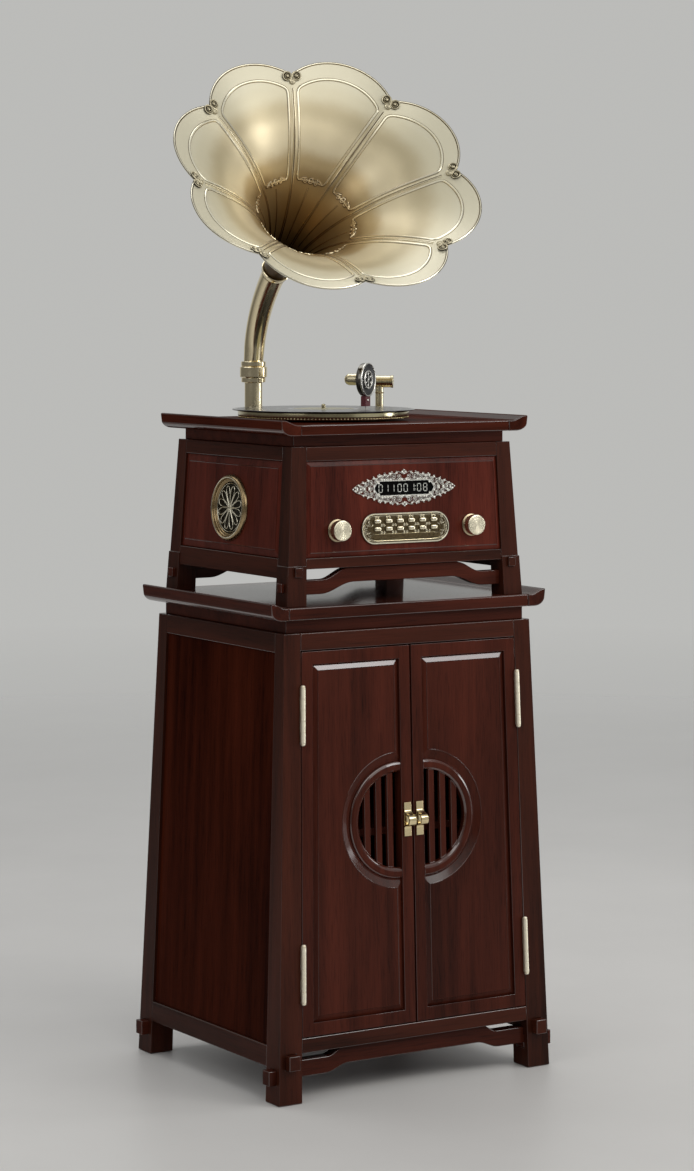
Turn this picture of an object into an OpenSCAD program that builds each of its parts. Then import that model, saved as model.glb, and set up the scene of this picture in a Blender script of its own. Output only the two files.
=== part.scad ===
// Floor-standing gramophone: a tapered two-door cabinet carries a tapered sound unit on short legs.
// On the unit's top stand the turntable, the tonearm and a swivelling eight-petal horn.
// Millimetres. +Z up, the doors face -Y, the origin is on the floor at the middle of the cabinet.

/* [Cabinet] */
// Width over the feet
cabinet_foot_w = 520; // [500:1:560]
// Depth over the feet
cabinet_foot_d = 454; // [440:1:490]
// Width at the top of the body
cabinet_top_w = 472; // [462:1:490]
// Depth at the top of the body
cabinet_top_d = 400; // [394:1:420]
// Height of the body, feet included
cabinet_h = 734; // [700:1:800]
// Side of a post at the floor
cabinet_post_foot = 42; // [38:1:48]
// Width of a post at the top, seen from the front
cabinet_post_top_w = 31; // [27:1:36]
// Width of a post at the top, seen from the side
cabinet_post_top_d = 27; // [25:1:34]
// Thickness of the rails
rail_t = 22; // [18:1:25]
// Thickness of the floor board and the shelf
shelf_t = 12; // [8:1:16]
// Height of the shelf's underside above the floor
shelf_z = 400; // [300:5:500]
// How far the side panels lie behind the posts' faces
panel_recess = 5; // [2:0.5:8]
// Thickness of the side panels
panel_t = 8; // [6:0.5:10]

/* [Doors] */
// Bottom edge of the doors, along the front face
door_low = 102.5; // [100:0.5:120]
// Distance from the doors' top edge to the body's top, along the front face
door_top_margin = 29.5; // [22.5:0.5:74]
// Thickness of a door
door_t = 20; // [18:0.5:20.5]
// Width of the stile on the hinge side, and height of the door's own rails
door_stile = 20.5; // [18:0.5:24]
// Width of the stile where the doors meet
door_meeting_stile = 20; // [18:0.5:24]
// Gap between a door and its post
door_gap = 1.2; // [1.2:0.1:2]
// Gap between the two doors
door_meeting_gap = 3.2; // [3.2:0.1:4]
// Width of the bevel round a raised panel
door_bevel = 10; // [7:0.5:13]
// Distance from the doors' top edge down to the round window's centre
window_drop = 278; // [235:1:325]
// Outer radius of the round window's ring
window_ring_r = 93.5; // [88:0.5:98]
// Radius of the opening inside the ring
window_open_r = 76.5; // [72:0.5:80]
// Distance of the half circle's centre from the middle of the front
window_centre_x = 25.5; // [23:0.5:28]
// Width of a window slat
slat_w = 11; // [8:0.5:13]
// Spacing of the slats
slat_pitch = 21.7; // [20:0.1:23]

/* [Door fittings] */
// Radius of a hinge barrel
hinge_r = 4; // [3.5:0.1:4.2]
// Length of a hinge barrel
hinge_len = 87; // [70:1:100]
// How far a hinge axis stands in front of the doors
hinge_proud = 4.5; // [4.4:0.1:4.8]
// Radius of a hinge pin
hinge_pin_r = 2; // [1.5:0.1:2.4]
// Thickness of a hinge leaf
leaf_t = 1.5; // [1:0.1:2]
// Distance from the doors' bottom edge up to the lower hinges' middle
hinge_low_inset = 98.5; // [78:0.5:137]
// Distance from the doors' top edge down to the upper hinges' middle
hinge_high_inset = 99; // [65:0.5:145]
// Width of a door handle's strap
handle_w = 14; // [10:0.5:17]
// Height of a door handle
handle_h = 54; // [44:1:64]
// How far a handle stands out
handle_out = 18; // [14:0.5:24]

/* [Joinery under the bodies] */
// Lower edge of the cabinet's front rail
cabinet_front_rail_low = 78; // [76:0.5:84]
// Lower edge of the cabinet's side rails
cabinet_side_rail_low = 55; // [54:0.5:62]
// Height of the cabinet's side rails
cabinet_side_rail_h = 33; // [28:0.5:36]
// Lower edge of the cabinet's stretchers at their ends
cabinet_stretcher_low = 39; // [36:0.5:42]
// Height of a cabinet stretcher
cabinet_stretcher_h = 26.5; // [22:0.5:28]
// Thickness of a cabinet stretcher
cabinet_stretcher_t = 20; // [16:0.5:22]
// How far a through tenon stands out of its post
tenon_out = 13; // [8:0.5:16]
// Height of a through tenon
tenon_h = 23; // [18:0.5:23]
// Thickness of a through tenon
tenon_t = 20; // [14:0.5:22]
// Height of the proud foot blocks on the unit's legs
head_block_h = 63; // [50:1:70]
// How far the foot blocks stand proud
head_block_out = 1.5; // [1:0.1:2]

/* [Tops] */
// Height of the recessed neck over the cabinet
cabinet_neck_h = 21; // [16:0.5:28]
// Thickness of the cabinet's top board
cabinet_top_t = 20; // [16:0.5:24]
// Width over the cabinet's end rails
cabinet_tips_w = 529; // [515:1:560]
// Depth of the cabinet's top
cabinet_tips_d = 414; // [404:1:440]
// Height of the recessed neck over the unit
head_neck_h = 18; // [14:0.5:24]
// Thickness of the unit's top board
head_top_t = 17; // [14:0.5:20]
// Width over the unit's end rails
head_tips_w = 475; // [466:1:500]
// Depth of the unit's top
head_tips_d = 387; // [380:1:410]
// How far an end rail rises over its top board
tip_rise = 8; // [4:0.5:10]
// How far a neck lies inside the body's top edge
neck_inset = 8; // [5:0.5:12]

/* [Sound unit] */
// Width over the unit's feet
head_foot_w = 450; // [440:1:470]
// Depth over the unit's feet
head_foot_d = 384; // [376:1:396]
// Width of the unit at its top
head_body_w = 420; // [414:1:430]
// Depth of the unit at its top
head_body_d = 360; // [352:1:370]
// Height of the unit, feet included
head_h = 250.5; // [240:0.5:280]
// Side of a leg at the foot
head_post_foot = 34.5; // [30:0.5:38]
// Side of a leg at the top
head_post_top = 27; // [24:0.5:30]
// Lower edge of the front panel above the unit's feet
front_panel_low = 75; // [70:0.5:80]
// Upper edge of the front panel above the unit's feet
front_panel_high = 228; // [224:0.5:232]
// Thickness of the unit's panels
head_panel_t = 10; // [8:0.5:12]

/* [Controls] */
// Height of the display's middle above the unit's feet
display_w = 181; // [178:0.5:186]
// Width of the display's filigree frame
bezel_len = 199; // [180:1:220]
// Height of the display's filigree frame
bezel_h = 61; // [54:1:64]
// Width of the display's window
display_len = 114; // [100:1:120]
// Height of the display's window
display_h = 21; // [18:0.5:24]
// Height of the button plate's middle above the unit's feet
button_plate_w = 117; // [114:0.5:120]
// Width of the button plate
button_plate_len = 168; // [160:1:180]
// Height of the button plate
button_plate_h = 49; // [46:1:54]
// Spacing of the buttons along the plate
button_pitch = 21.7; // [19:0.1:23]
// Spacing of the two rows of buttons
button_row_pitch = 12.4; // [11.8:0.1:13]
// Width of a button
button_len = 12.6; // [11:0.1:14]
// Height of a button
button_h = 7; // [6:0.1:8]
// How far a button stands out of the plate
button_out = 3; // [2.4:0.1:4]
// Distance of a knob from the middle of the panel
knob_x = 129; // [125:1:134]
// Radius of a knob
knob_r = 16.5; // [14:0.5:18]
// Length of a knob
knob_len = 18; // [14:0.5:22]
// Radius of a speaker rosette
rosette_r = 54; // [50:0.5:56]
// Height of the speaker rosettes' middle above the unit's feet
rosette_w = 146; // [143:0.5:149]

/* [Turntable] */
// Sideways place of the spindle
spindle_x = -42; // [-44:0.5:-36]
// Depth place of the spindle
spindle_y = -6; // [-10:0.5:-4]
// Radius of the record
record_r = 150.5; // [148:0.5:151]
// Thickness of the record
record_t = 2; // [1.6:0.1:3]
// Radius of the platter
platter_r = 141; // [136:0.5:144]
// Thickness of the platter
platter_t = 13; // [11:0.5:16]
// Gap under the platter
platter_lift = 3; // [2.6:0.1:5]
// Radius of the spindle
spindle_r = 3.6; // [3.5:0.1:3.6]
// Height of the spindle over the record
spindle_out = 8; // [6:0.5:12]

/* [Tonearm] */
// Sideways place of the tonearm's post
arm_x = 149; // [146:0.5:152]
// Depth place of the tonearm's post
arm_y = 118; // [116:0.5:122]
// Height of the lifting axle above the unit's top board
arm_axle_h = 57; // [54:0.5:62]
// Distance from the post to the soundbox
arm_reach = 242.5; // [238:0.5:248]
// Direction of the arm, seen from above
arm_angle = 231.5; // [230:0.1:236]
// Height of the soundbox's middle above the record
soundbox_h = 48.5; // [46:0.5:54]
// Radius of the crossbar
crossbar_r = 10; // [8.5:0.5:11]
// Length of the crossbar
crossbar_len = 42; // [38:0.5:48]
// Radius of the soundbox
soundbox_r = 28; // [25:0.5:29]
// Thickness of the soundbox
soundbox_t = 12; // [10:0.5:14]
// Turn of the soundbox's axis from the arm
soundbox_turn = 70.4; // [66:0.2:76]

/* [Horn] */
// Sideways place of the horn's foot
horn_x = -77; // [-80:0.5:-70]
// Depth place of the horn's foot
horn_y = 160; // [158:0.5:164]
// Outer radius of the fixed tube
horn_tube_r = 15; // [13.5:0.5:16]
// Height of the swivel joint above the unit's top board
horn_joint_h = 66; // [50:1:90]
// Direction in which the horn leans, clockwise from the front
horn_turn = 9.4; // [0:0.1:20]
// Forward reach of the elbow
elbow_reach = 102; // [90:1:115]
// Height of the elbow above the swivel joint
elbow_rise = 181; // [160:1:200]
// Upward slope of the elbow's end
elbow_slope = 37; // [30:1:45]
// Forward reach of the mouth's centre
mouth_reach = 320; // [300:1:340]
// Height of the mouth's centre above the swivel joint
mouth_rise = 330; // [310:1:350]
// Upward slope of the mouth
mouth_slope = 40.6; // [35:0.1:45]
// Sideways turn of the mouth from the elbow
mouth_turn = 4.3; // [0:0.1:8]
// Radius of the mouth at the notches between the petals
notch_r = 223.5; // [200:0.5:240]
// Radius of the mouth at the petals' tips
petal_r = 252; // [246:0.5:262]
// Number of petals
petals = 8; // [6:1:10]
// Turn of the first notch
petal_phase = 3.57; // [0:0.1:10]
// Thickness of the bell's wall
bell_wall = 1.5; // [1.2:0.1:2]

/* [Hidden] */
BUTTON_NAMES = ["button_01", "button_02", "button_03", "button_04", "button_05", "button_06",
    "button_07", "button_08", "button_09", "button_10", "button_11", "button_12"];

wood = [0.26, 0.10, 0.08];
brass = [0.72, 0.63, 0.42];
bronze = [0.45, 0.36, 0.20];
steel = [0.75, 0.75, 0.74];
black = [0.05, 0.05, 0.06];

fn_round = 64;
big = 1200;
touch = 0.02;
running = 0.05;
rest_gap = 0.3;

// A tapered body: [floor height, top height, foot width, top width, foot depth, top depth,
// post at the foot, post width at the top, post depth at the top]
head_z = cabinet_h + cabinet_neck_h + cabinet_top_t + touch;
cabinet = [0, cabinet_h, cabinet_foot_w, cabinet_top_w, cabinet_foot_d, cabinet_top_d,
    cabinet_post_foot, cabinet_post_top_w, cabinet_post_top_d];
cabinet_face_h = cabinet_h / cos(front_lean(cabinet));
door_high = cabinet_face_h - door_top_margin;
window_w = door_high - window_drop;
hinge_low_w = door_low + hinge_low_inset;
hinge_high_w = door_high - hinge_high_inset;
head = [head_z, head_z + head_h, head_foot_w, head_body_w, head_foot_d, head_body_d,
    head_post_foot, head_post_top, head_post_top];
deck_z = head[1] + head_neck_h + head_top_t;

function mix(a, b, t) = a + (b - a) * t;
function share(c, z) = (z - c[0]) / (c[1] - c[0]);
function half_w(c, z) = mix(c[2], c[3], share(c, z)) / 2;
function half_d(c, z) = mix(c[4], c[5], share(c, z)) / 2;
function inner_w(c, z) = mix(c[2] / 2 - c[6], c[3] / 2 - c[7], share(c, z));
function inner_d(c, z) = mix(c[4] / 2 - c[6], c[5] / 2 - c[8], share(c, z));
function front_lean(c) = atan((c[4] - c[5]) / 2 / (c[1] - c[0]));
function side_lean(c) = atan((c[2] - c[3]) / 2 / (c[1] - c[0]));

// Block between two heights whose sides lean: each range is [low, high] at the bottom and at the top
module leaning_block(z0, z1, x_bottom, x_top, y_bottom, y_top) {
    intersection() {
        rotate([90, 0, 0]) linear_extrude(big, center = true)
            polygon([[x_bottom[0], z0], [x_bottom[1], z0], [x_top[1], z1], [x_top[0], z1]]);
        rotate([90, 0, 90]) linear_extrude(big, center = true)
            polygon([[y_bottom[0], z0], [y_bottom[1], z0], [y_top[1], z1], [y_top[0], z1]]);
    }
}

// Places children on the leaning front face: X across, +Y into the body, Z up along the face
module on_front(c) {
    translate([0, -c[4] / 2, c[0]]) rotate([-front_lean(c), 0, 0]) children();
}

// Places children on the leaning left face: X along towards the front, +Y into the body, Z up the face
module on_left(c) {
    translate([-c[2] / 2, 0, c[0]]) rotate([0, side_lean(c), 0]) rotate([0, 0, -90]) children();
}

// Plate whose outline is drawn in X and Z, between two depths behind the face
module plate(from, to) {
    translate([0, to, 0]) rotate([90, 0, 0]) linear_extrude(to - from) children();
}

module both_sides() {
    children();
    mirror([1, 0, 0]) children();
}

module front_and_back() {
    children();
    mirror([0, 1, 0]) children();
}

// Posts

module post(c) {
    z0 = c[0];
    z1 = c[1];
    leaning_block(z0, z1, [-half_w(c, z0), -inner_w(c, z0)], [-half_w(c, z1), -inner_w(c, z1)],
        [-half_d(c, z0), -inner_d(c, z0)], [-half_d(c, z1), -inner_d(c, z1)]);
}

tenon_side_z = cabinet_side_rail_low + tenon_h / 2 + 0.5;
tenon_front_z = tenon_side_z - tenon_h - 1.5;
function post_mid_x(c, z) = (half_w(c, z) + inner_w(c, z)) / 2;
function post_mid_y(c, z) = (half_d(c, z) + inner_d(c, z)) / 2;

// Through tenon that runs front to back, at the end of a side rail
module tenon_y(c, z, w, h, out, play = 0) {
    y0 = -half_d(c, z) - out;
    y1 = -inner_d(c, z) + (play > 0 ? 3 : 0);
    translate([-post_mid_x(c, z) - w / 2 - play, y0, z - h / 2 - play])
        cube([w + 2 * play, y1 - y0 + 0.4, h + 2 * play]);
}

// Through tenon that runs left to right, at the end of a stretcher
module tenon_x(c, z, w, h, out, play = 0) {
    x0 = -half_w(c, z) - out;
    x1 = -inner_w(c, z) + (play > 0 ? 3 : 0);
    translate([x0, -post_mid_y(c, z) - w / 2 - play, z - h / 2 - play])
        cube([x1 - x0, w + 2 * play, h + 2 * play]);
}

module cabinet_leg() difference() {
    post(cabinet);
    tenon_y(cabinet, tenon_side_z, tenon_t, tenon_h, tenon_out, touch);
    tenon_x(cabinet, tenon_front_z, tenon_t, tenon_h, tenon_out, touch);
}

module cabinet_posts() color(wood) both_sides() {
    mirror([0, 1, 0]) cabinet_leg();
    difference() {
        cabinet_leg();
        for (w = [hinge_low_w, hinge_high_w]) at_hinge(w)
            translate([-door_gap / 2 - leaf_t - touch, hinge_proud - 1, -hinge_len / 2 - touch])
                cube([leaf_t + 3, leaf_depth + 1 + touch, hinge_len + 2 * touch]);
    }
}

// Rails, stretchers, panels and boards of the cabinet

cabinet_front_rail_h = door_low - cabinet_front_rail_low - 1.5;

// Rail in the front face between two posts, low and high edges measured along the face
module front_rail(c, low, high, t) {
    on_front(c) plate(0, t) polygon([
        [-inner_w(c, c[0] + low) + touch, low], [inner_w(c, c[0] + low) - touch, low],
        [inner_w(c, c[0] + high) - touch, high], [-inner_w(c, c[0] + high) + touch, high]]);
}

cabinet_side_rail_top = cabinet_side_rail_low + cabinet_side_rail_h;

module cabinet_rails() color(wood) {
    front_and_back() {
        front_rail(cabinet, cabinet_front_rail_low, cabinet_front_rail_low + cabinet_front_rail_h, rail_t);
        intersection() {
            front_rail(cabinet, door_high + 1.8, cabinet_face_h + 2, rail_t);
            translate([-big / 2, -big / 2, 0]) cube([big, big, cabinet_h]);
        }
    }
    both_sides() {
        left_slab(cabinet, cabinet_h - 31, cabinet_h, 0, rail_t);
        left_slab(cabinet, cabinet_side_rail_low, cabinet_side_rail_top, 0, rail_t);
        front_and_back() tenon_y(cabinet, tenon_side_z, tenon_t, tenon_h, tenon_out);
    }
}

// Lower outline of a humpback stretcher: flat at the ends, an S-curve, flat and higher in the middle
function hump(half, bend_out, bend_in, low, lift, steps = 8) = concat(
    [[-half, low]],
    [for (i = [0:steps]) [mix(-bend_out, -bend_in, i / steps), low + lift * (1 - cos(180 * i / steps)) / 2]],
    [for (i = [0:steps]) [mix(bend_in, bend_out, i / steps), low + lift * (1 + cos(180 * i / steps)) / 2]],
    [[half, low]]);

function flipped(list) = [for (i = [len(list) - 1:-1:0]) list[i]];

module stretcher(c, half, bend_out, bend_in, low, h, lift, t, y) {
    translate([0, y + t / 2, c[0]]) rotate([90, 0, 0]) linear_extrude(t)
        polygon(concat(hump(half, bend_out, bend_in, low, lift),
            flipped(hump(half, bend_out - 4, bend_in + 10, low + h, lift))));
}

// Joins a stretcher to its tenon, within the tenon's own section
module tongue(half, y, t, low, high) {
    translate([-half - 6, -y - t / 2 + 0.01, low + 0.01]) cube([12, t - 0.02, high - low - 0.02]);
}

// Height of a leaning rail's underside at its back edge, where it is lowest
function under_rail(c, low, t) = low * cos(front_lean(c)) - t * sin(front_lean(c));

cabinet_stretcher_top = cabinet_stretcher_low + cabinet_stretcher_h;
cabinet_stretcher_lift = under_rail(cabinet, cabinet_front_rail_low, rail_t) - cabinet_stretcher_top - 0.2;

module cabinet_stretchers() color(wood) front_and_back() {
    half = inner_w(cabinet, cabinet_stretcher_top) - touch;
    union() {
        stretcher(cabinet, half, 167, 124, cabinet_stretcher_low, cabinet_stretcher_h,
            cabinet_stretcher_lift, cabinet_stretcher_t, -post_mid_y(cabinet, tenon_front_z));
        both_sides() {
            tenon_x(cabinet, tenon_front_z, tenon_t, tenon_h, tenon_out);
            tongue(half, post_mid_y(cabinet, tenon_front_z), min(tenon_t, cabinet_stretcher_t),
                max(tenon_front_z - tenon_h / 2, cabinet_stretcher_low),
                min(tenon_front_z + tenon_h / 2, cabinet_stretcher_top));
        }
    }
}

// Rail or panel in the left face between two posts, from one depth behind the face to another
module left_slab(c, low, high, from, to) {
    z0 = c[0] + low;
    z1 = c[0] + high;
    leaning_block(z0, z1, [from - half_w(c, z0), to - half_w(c, z0)], [from - half_w(c, z1), to - half_w(c, z1)],
        [touch - inner_d(c, z0), inner_d(c, z0) - touch], [touch - inner_d(c, z1), inner_d(c, z1) - touch]);
}

module cabinet_panels() color(wood) {
    low = cabinet_side_rail_top + touch;
    both_sides() left_slab(cabinet, low, cabinet_h - 31 - touch, panel_recess, panel_recess + panel_t);
    mirror([0, 1, 0]) on_front(cabinet) {
        w0 = cabinet_front_rail_low + cabinet_front_rail_h + touch;
        w1 = door_high + 1.8 - touch;
        plate(panel_recess, panel_recess + panel_t) polygon([
            [-inner_w(cabinet, w0) + touch, w0], [inner_w(cabinet, w0) - touch, w0],
            [inner_w(cabinet, w1) - touch, w1], [-inner_w(cabinet, w1) + touch, w1]]);
    }
}

// Board that reaches the side panels and is notched round the posts
module notched_board(c, z, t, front_inset, back_inset) {
    x = half_w(c, z + t) - panel_recess - panel_t - touch;
    px = inner_w(c, z + t) - touch;
    py = inner_d(c, z + t) - touch;
    translate([0, 0, z]) linear_extrude(t) polygon([
        [-px, front_inset - half_d(c, z + t)], [px, front_inset - half_d(c, z + t)], [px, -py], [x, -py], [x, py],
        [px, py], [px, half_d(c, z + t) - back_inset], [-px, half_d(c, z + t) - back_inset], [-px, py], [-x, py],
        [-x, -py], [-px, -py]]);
}

module cabinet_boards() color(wood) {
    notched_board(cabinet, cabinet_side_rail_top + touch, shelf_t, rail_t + touch, rail_t + touch);
    notched_board(cabinet, shelf_z, shelf_t, door_t + 10, panel_recess + panel_t + touch);
}

// Necks and tops

module neck(c, h) {
    x = c[3] / 2 - neck_inset;
    y = c[5] / 2 - neck_inset;
    wall = rail_t - neck_inset + 4;
    translate([0, 0, c[1] + touch]) linear_extrude(h - 2 * touch) difference() {
        square([2 * x, 2 * y], center = true);
        square([2 * (x - wall), 2 * (y - wall)], center = true);
    }
}

module cabinet_neck() color(wood) neck(cabinet, cabinet_neck_h);

// Cross-section of a raised end rail, from its joint at the left to its tip at the right
function end_rail_outline(width, t, rise) = concat(
    [[0, 0], [width * 0.4, 0]],
    [for (i = [1:8]) [width * 0.4 + (width * 0.6 - 1.5) * sin(i * 90 / 8), t * 0.75 * (1 - cos(i * 90 / 8))]],
    [[width, t + rise - 1.5], [width - 1.2, t + rise], [width - 4, t + rise]],
    [for (i = [1:5]) [mix(width - 4, 6, i / 5), t + rise * (1 + cos(i * 180 / 5)) / 2]],
    [[0, t]]);

module top(z, t, tips_w, tips_d, joint_x) {
    translate([-joint_x, -tips_d / 2 + 1, z]) cube([2 * joint_x, tips_d - 2, t]);
    both_sides() translate([joint_x + touch, tips_d / 2, z]) rotate([90, 0, 0])
        linear_extrude(tips_d) polygon(end_rail_outline(tips_w / 2 - joint_x - touch, t, tip_rise));
}

module cabinet_top() color(wood)
    top(cabinet_h + cabinet_neck_h, cabinet_top_t, cabinet_tips_w, cabinet_tips_d, cabinet_top_w / 2 - 6);

// Hinges: the left door's axis leans with its stile and with the front face

seam_lean = atan((cabinet_foot_w / 2 - cabinet_post_foot - cabinet_top_w / 2 + cabinet_post_top_w) / cabinet_h);
leaf_depth = 18;
knuckles = 5;

module at_hinge(w) {
    on_front(cabinet) translate([door_gap / 2 - inner_w(cabinet, w), -hinge_proud, w])
        rotate([0, seam_lean, 0]) children();
}

module knuckle_set(odd, bore) {
    step = hinge_len / knuckles;
    for (i = [odd ? 0 : 1:2:knuckles - 1]) translate([0, 0, i * step - hinge_len / 2 + 0.15]) difference() {
        union() {
            cylinder(r = hinge_r, h = step - 0.3, $fn = fn_round);
            translate([odd ? -door_gap / 2 - leaf_t : door_gap / 2, 0, 0]) cube([leaf_t, hinge_proud + 1, step - 0.3]);
        }
        translate([0, 0, -1]) cylinder(r = bore, h = step + 2, $fn = fn_round);
    }
}

// Leaf let into the post (odd) or into the door's edge
module hinge_leaf(odd) {
    difference() {
        union() {
            knuckle_set(odd, hinge_pin_r + (odd ? touch : running));
            translate([odd ? -door_gap / 2 - leaf_t : door_gap / 2, hinge_proud + 0.3, -hinge_len / 2])
                cube([leaf_t, leaf_depth - 0.3, hinge_len]);
        }
    }
}

module hinge_pin() {
    cylinder(r = hinge_pin_r, h = hinge_len + 2, center = true, $fn = fn_round);
    for (s = [-1, 1]) translate([0, 0, s * (hinge_len / 2 + 0.1)]) mirror([0, 0, s < 0 ? 1 : 0]) {
        cylinder(r = hinge_r - 0.4, h = 1.4, $fn = fn_round);
        translate([0, 0, 1.4]) cylinder(r1 = hinge_r, r2 = hinge_r - 1.4, h = 2.2, $fn = fn_round);
    }
}

module hinge_post_leaves() color(brass) both_sides() for (w = [hinge_low_w, hinge_high_w]) at_hinge(w) {
    hinge_leaf(true);
    hinge_pin();
}

module door_leaves() color(brass) for (w = [hinge_low_w, hinge_high_w]) at_hinge(w) hinge_leaf(false);

// Doors, drawn as the left one and mirrored for the right one

meet_x = door_meeting_gap / 2;
window_edge_x = meet_x + door_meeting_stile;
field_depth = 1;
groove_depth = 5;
door_panel_t = 8;

function door_edge(w) = inner_w(cabinet, w) - door_gap;

// Outline of the left door, drawn in by a stile's width on each side and then by an even margin
module door_outline(hinge_side, meet_side, ends, margin = 0) {
    w0 = door_low + ends + margin;
    w1 = door_high - ends - margin;
    polygon([[-door_edge(w0) + hinge_side + margin, w0], [-meet_x - meet_side - margin, w0],
        [-meet_x - meet_side - margin, w1], [-door_edge(w1) + hinge_side + margin, w1]]);
}

module door_frame() color(wood) difference() {
    on_front(cabinet) plate(0, door_t) difference() {
        door_outline(0, 0, 0);
        door_outline(door_stile, door_meeting_stile, door_stile);
    }
    for (w = [hinge_low_w, hinge_high_w]) at_hinge(w)
        translate([door_gap / 2 - 3, hinge_proud - 1, -hinge_len / 2 - touch])
            cube([leaf_t + 3 + touch, leaf_depth + 1 + touch, hinge_len + 2 * touch]);
}

// Places children at the window's centre, with Z into the door
module at_window() {
    on_front(cabinet) translate([-window_centre_x, 0, window_w]) rotate([-90, 0, 0]) children();
}

cove_r = window_ring_r + 15;

// Raised panel: left edge, right edge (each at the bottom and at the top), height range, depths, bevel
module fielded_panel(left, right, w, field, groove, back, bevel) {
    a = atan((groove - field) / bevel);
    far = w[1] - w[0] + 100;
    difference() {
        plate(field, back) polygon([[left[0], w[0]], [right[0], w[0]], [right[1], w[1]], [left[1], w[1]]]);
        translate([left[0], groove, w[0]]) rotate([0, atan((left[1] - left[0]) / (w[1] - w[0])), 0])
            rotate([0, 0, -a]) translate([-50, -50, -50]) cube([100, 50, far]);
        translate([right[0], groove, w[0]]) rotate([0, atan((right[1] - right[0]) / (w[1] - w[0])), 0])
            rotate([0, 0, a]) translate([-50, -50, -50]) cube([100, 50, far]);
        translate([0, groove, w[0]]) rotate([a, 0, 0]) translate([-big / 2, -50, -50]) cube([big, 50, 100]);
        translate([0, groove, w[1]]) rotate([-a, 0, 0]) translate([-big / 2, -50, -50]) cube([big, 50, 100]);
    }
}

door_panel_w = [door_low + door_stile + touch, door_high - door_stile - touch];

module door_panel() color(wood) difference() {
    on_front(cabinet) fielded_panel(
        [for (w = door_panel_w) door_stile + touch - door_edge(w)],
        [-window_edge_x - touch, -window_edge_x - touch],
        door_panel_w, field_depth, groove_depth, groove_depth + door_panel_t, door_bevel);
    at_window() {
        translate([0, 0, -2]) cylinder(r = window_ring_r + touch, h = 20, $fn = 128);
        translate([0, 0, field_depth - 0.01])
            cylinder(r1 = cove_r, r2 = window_ring_r + 3, h = groove_depth - field_depth, $fn = 128);
    }
}

// Half ring and its slats
module door_window() color(wood) intersection() {
    at_window() {
        rotate_extrude($fn = 128) polygon([[window_open_r, 13], [window_open_r, 4], [window_open_r + 3, 1.2],
            [window_open_r + 6, 0.4], [window_ring_r - 5, 0.4], [window_ring_r - 1.5, 1.6], [window_ring_r, 4],
            [window_ring_r, 13]]);
        intersection() {
            cylinder(r = window_open_r + 1, h = 20, $fn = 128);
            for (i = [0:2]) translate([window_centre_x - 40 - i * slat_pitch - slat_w / 2, -window_ring_r, 5.5])
                cube([slat_w, 2 * window_ring_r, 7]);
        }
    }
    on_front(cabinet) translate([-big - window_edge_x - touch, -50, 0]) cube([big, 100, cabinet_h]);
}

// Band of even thickness along a line of points
function leg(p, i) = let (a = p[max(i - 1, 0)], b = p[min(i + 1, len(p) - 1)], d = b - a) [-d[1], d[0]] / norm(d);
function band(p, t) = concat([for (i = [0:len(p) - 1]) p[i] + leg(p, i) * t / 2],
    [for (i = [len(p) - 1:-1:0]) p[i] - leg(p, i) * t / 2]);

// Side view of a pull: flat top leaf, a bulge that curls back, and a flat foot
strap_t = 3;
pull_line = [for (q = [[0, 0.5], [0, 0.27], [0.04, 0.23], [0.22, 0.15], [0.5, 0.04], [0.8, -0.06], [0.95, -0.12],
    [1, -0.18], [0.95, -0.235], [0.8, -0.27], [0.6, -0.28], [0.35, -0.265], [0.15, -0.27], [0.03, -0.3],
    [0, -0.33], [0, -0.5]]) [-strap_t / 2 - q[0] * (handle_out - strap_t), q[1] * handle_h]];

module door_handle() color(brass) on_front(cabinet)
    translate([-meet_x - door_meeting_stile / 2 - handle_w / 2, -touch, window_w])
        rotate([90, 0, 90]) linear_extrude(handle_w) polygon(band(pull_line, strap_t));

// The sound unit's body

module head_posts() color(wood) both_sides() front_and_back() difference() {
    union() {
        post(head);
        z1 = head[0] + head_block_h;
        o = head_block_out;
        leaning_block(head[0], z1, [-half_w(head, head[0]) - o, -inner_w(head, head[0])],
            [-half_w(head, z1) - o, -inner_w(head, z1)],
            [-half_d(head, head[0]) - o, -inner_d(head, head[0])], [-half_d(head, z1) - o, -inner_d(head, z1)]);
    }
    tenon_y(head, head_tenon_side_z, head_tenon_t, head_tenon_h, head_tenon_out + 3, touch);
    tenon_x(head, head_tenon_front_z, head_tenon_t, head_tenon_h, head_tenon_out + 3, touch);
}

head_side_rail_low = 43;
head_side_rail_h = 31;
head_stretcher_low = 17;
head_stretcher_h = 23;
head_stretcher_t = 15;
head_front_rail_low = 58;
head_tenon_h = 15;
head_tenon_t = 14;
head_tenon_out = 6.5;
head_tenon_side_z = head[0] + head_side_rail_low + 11;
head_tenon_front_z = head[0] + head_stretcher_low + 12;
head_face_h = head_h / cos(front_lean(head));
head_rail_t = 18;

module head_rails() color(wood) {
    front_and_back() {
        front_rail(head, head_front_rail_low, front_panel_low - touch, head_rail_t);
        intersection() {
            front_rail(head, front_panel_high + touch, head_face_h + 1, head_rail_t);
            translate([-big / 2, -big / 2, 0]) cube([big, big, head[1]]);
        }
    }
    both_sides() {
        left_slab(head, head_side_rail_low, head_side_rail_low + head_side_rail_h, 0, head_rail_t);
        left_slab(head, front_panel_high, head_h, 0, head_rail_t);
        front_and_back() tenon_y(head, head_tenon_side_z, head_tenon_t, head_tenon_h, head_tenon_out);
    }
}

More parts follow.
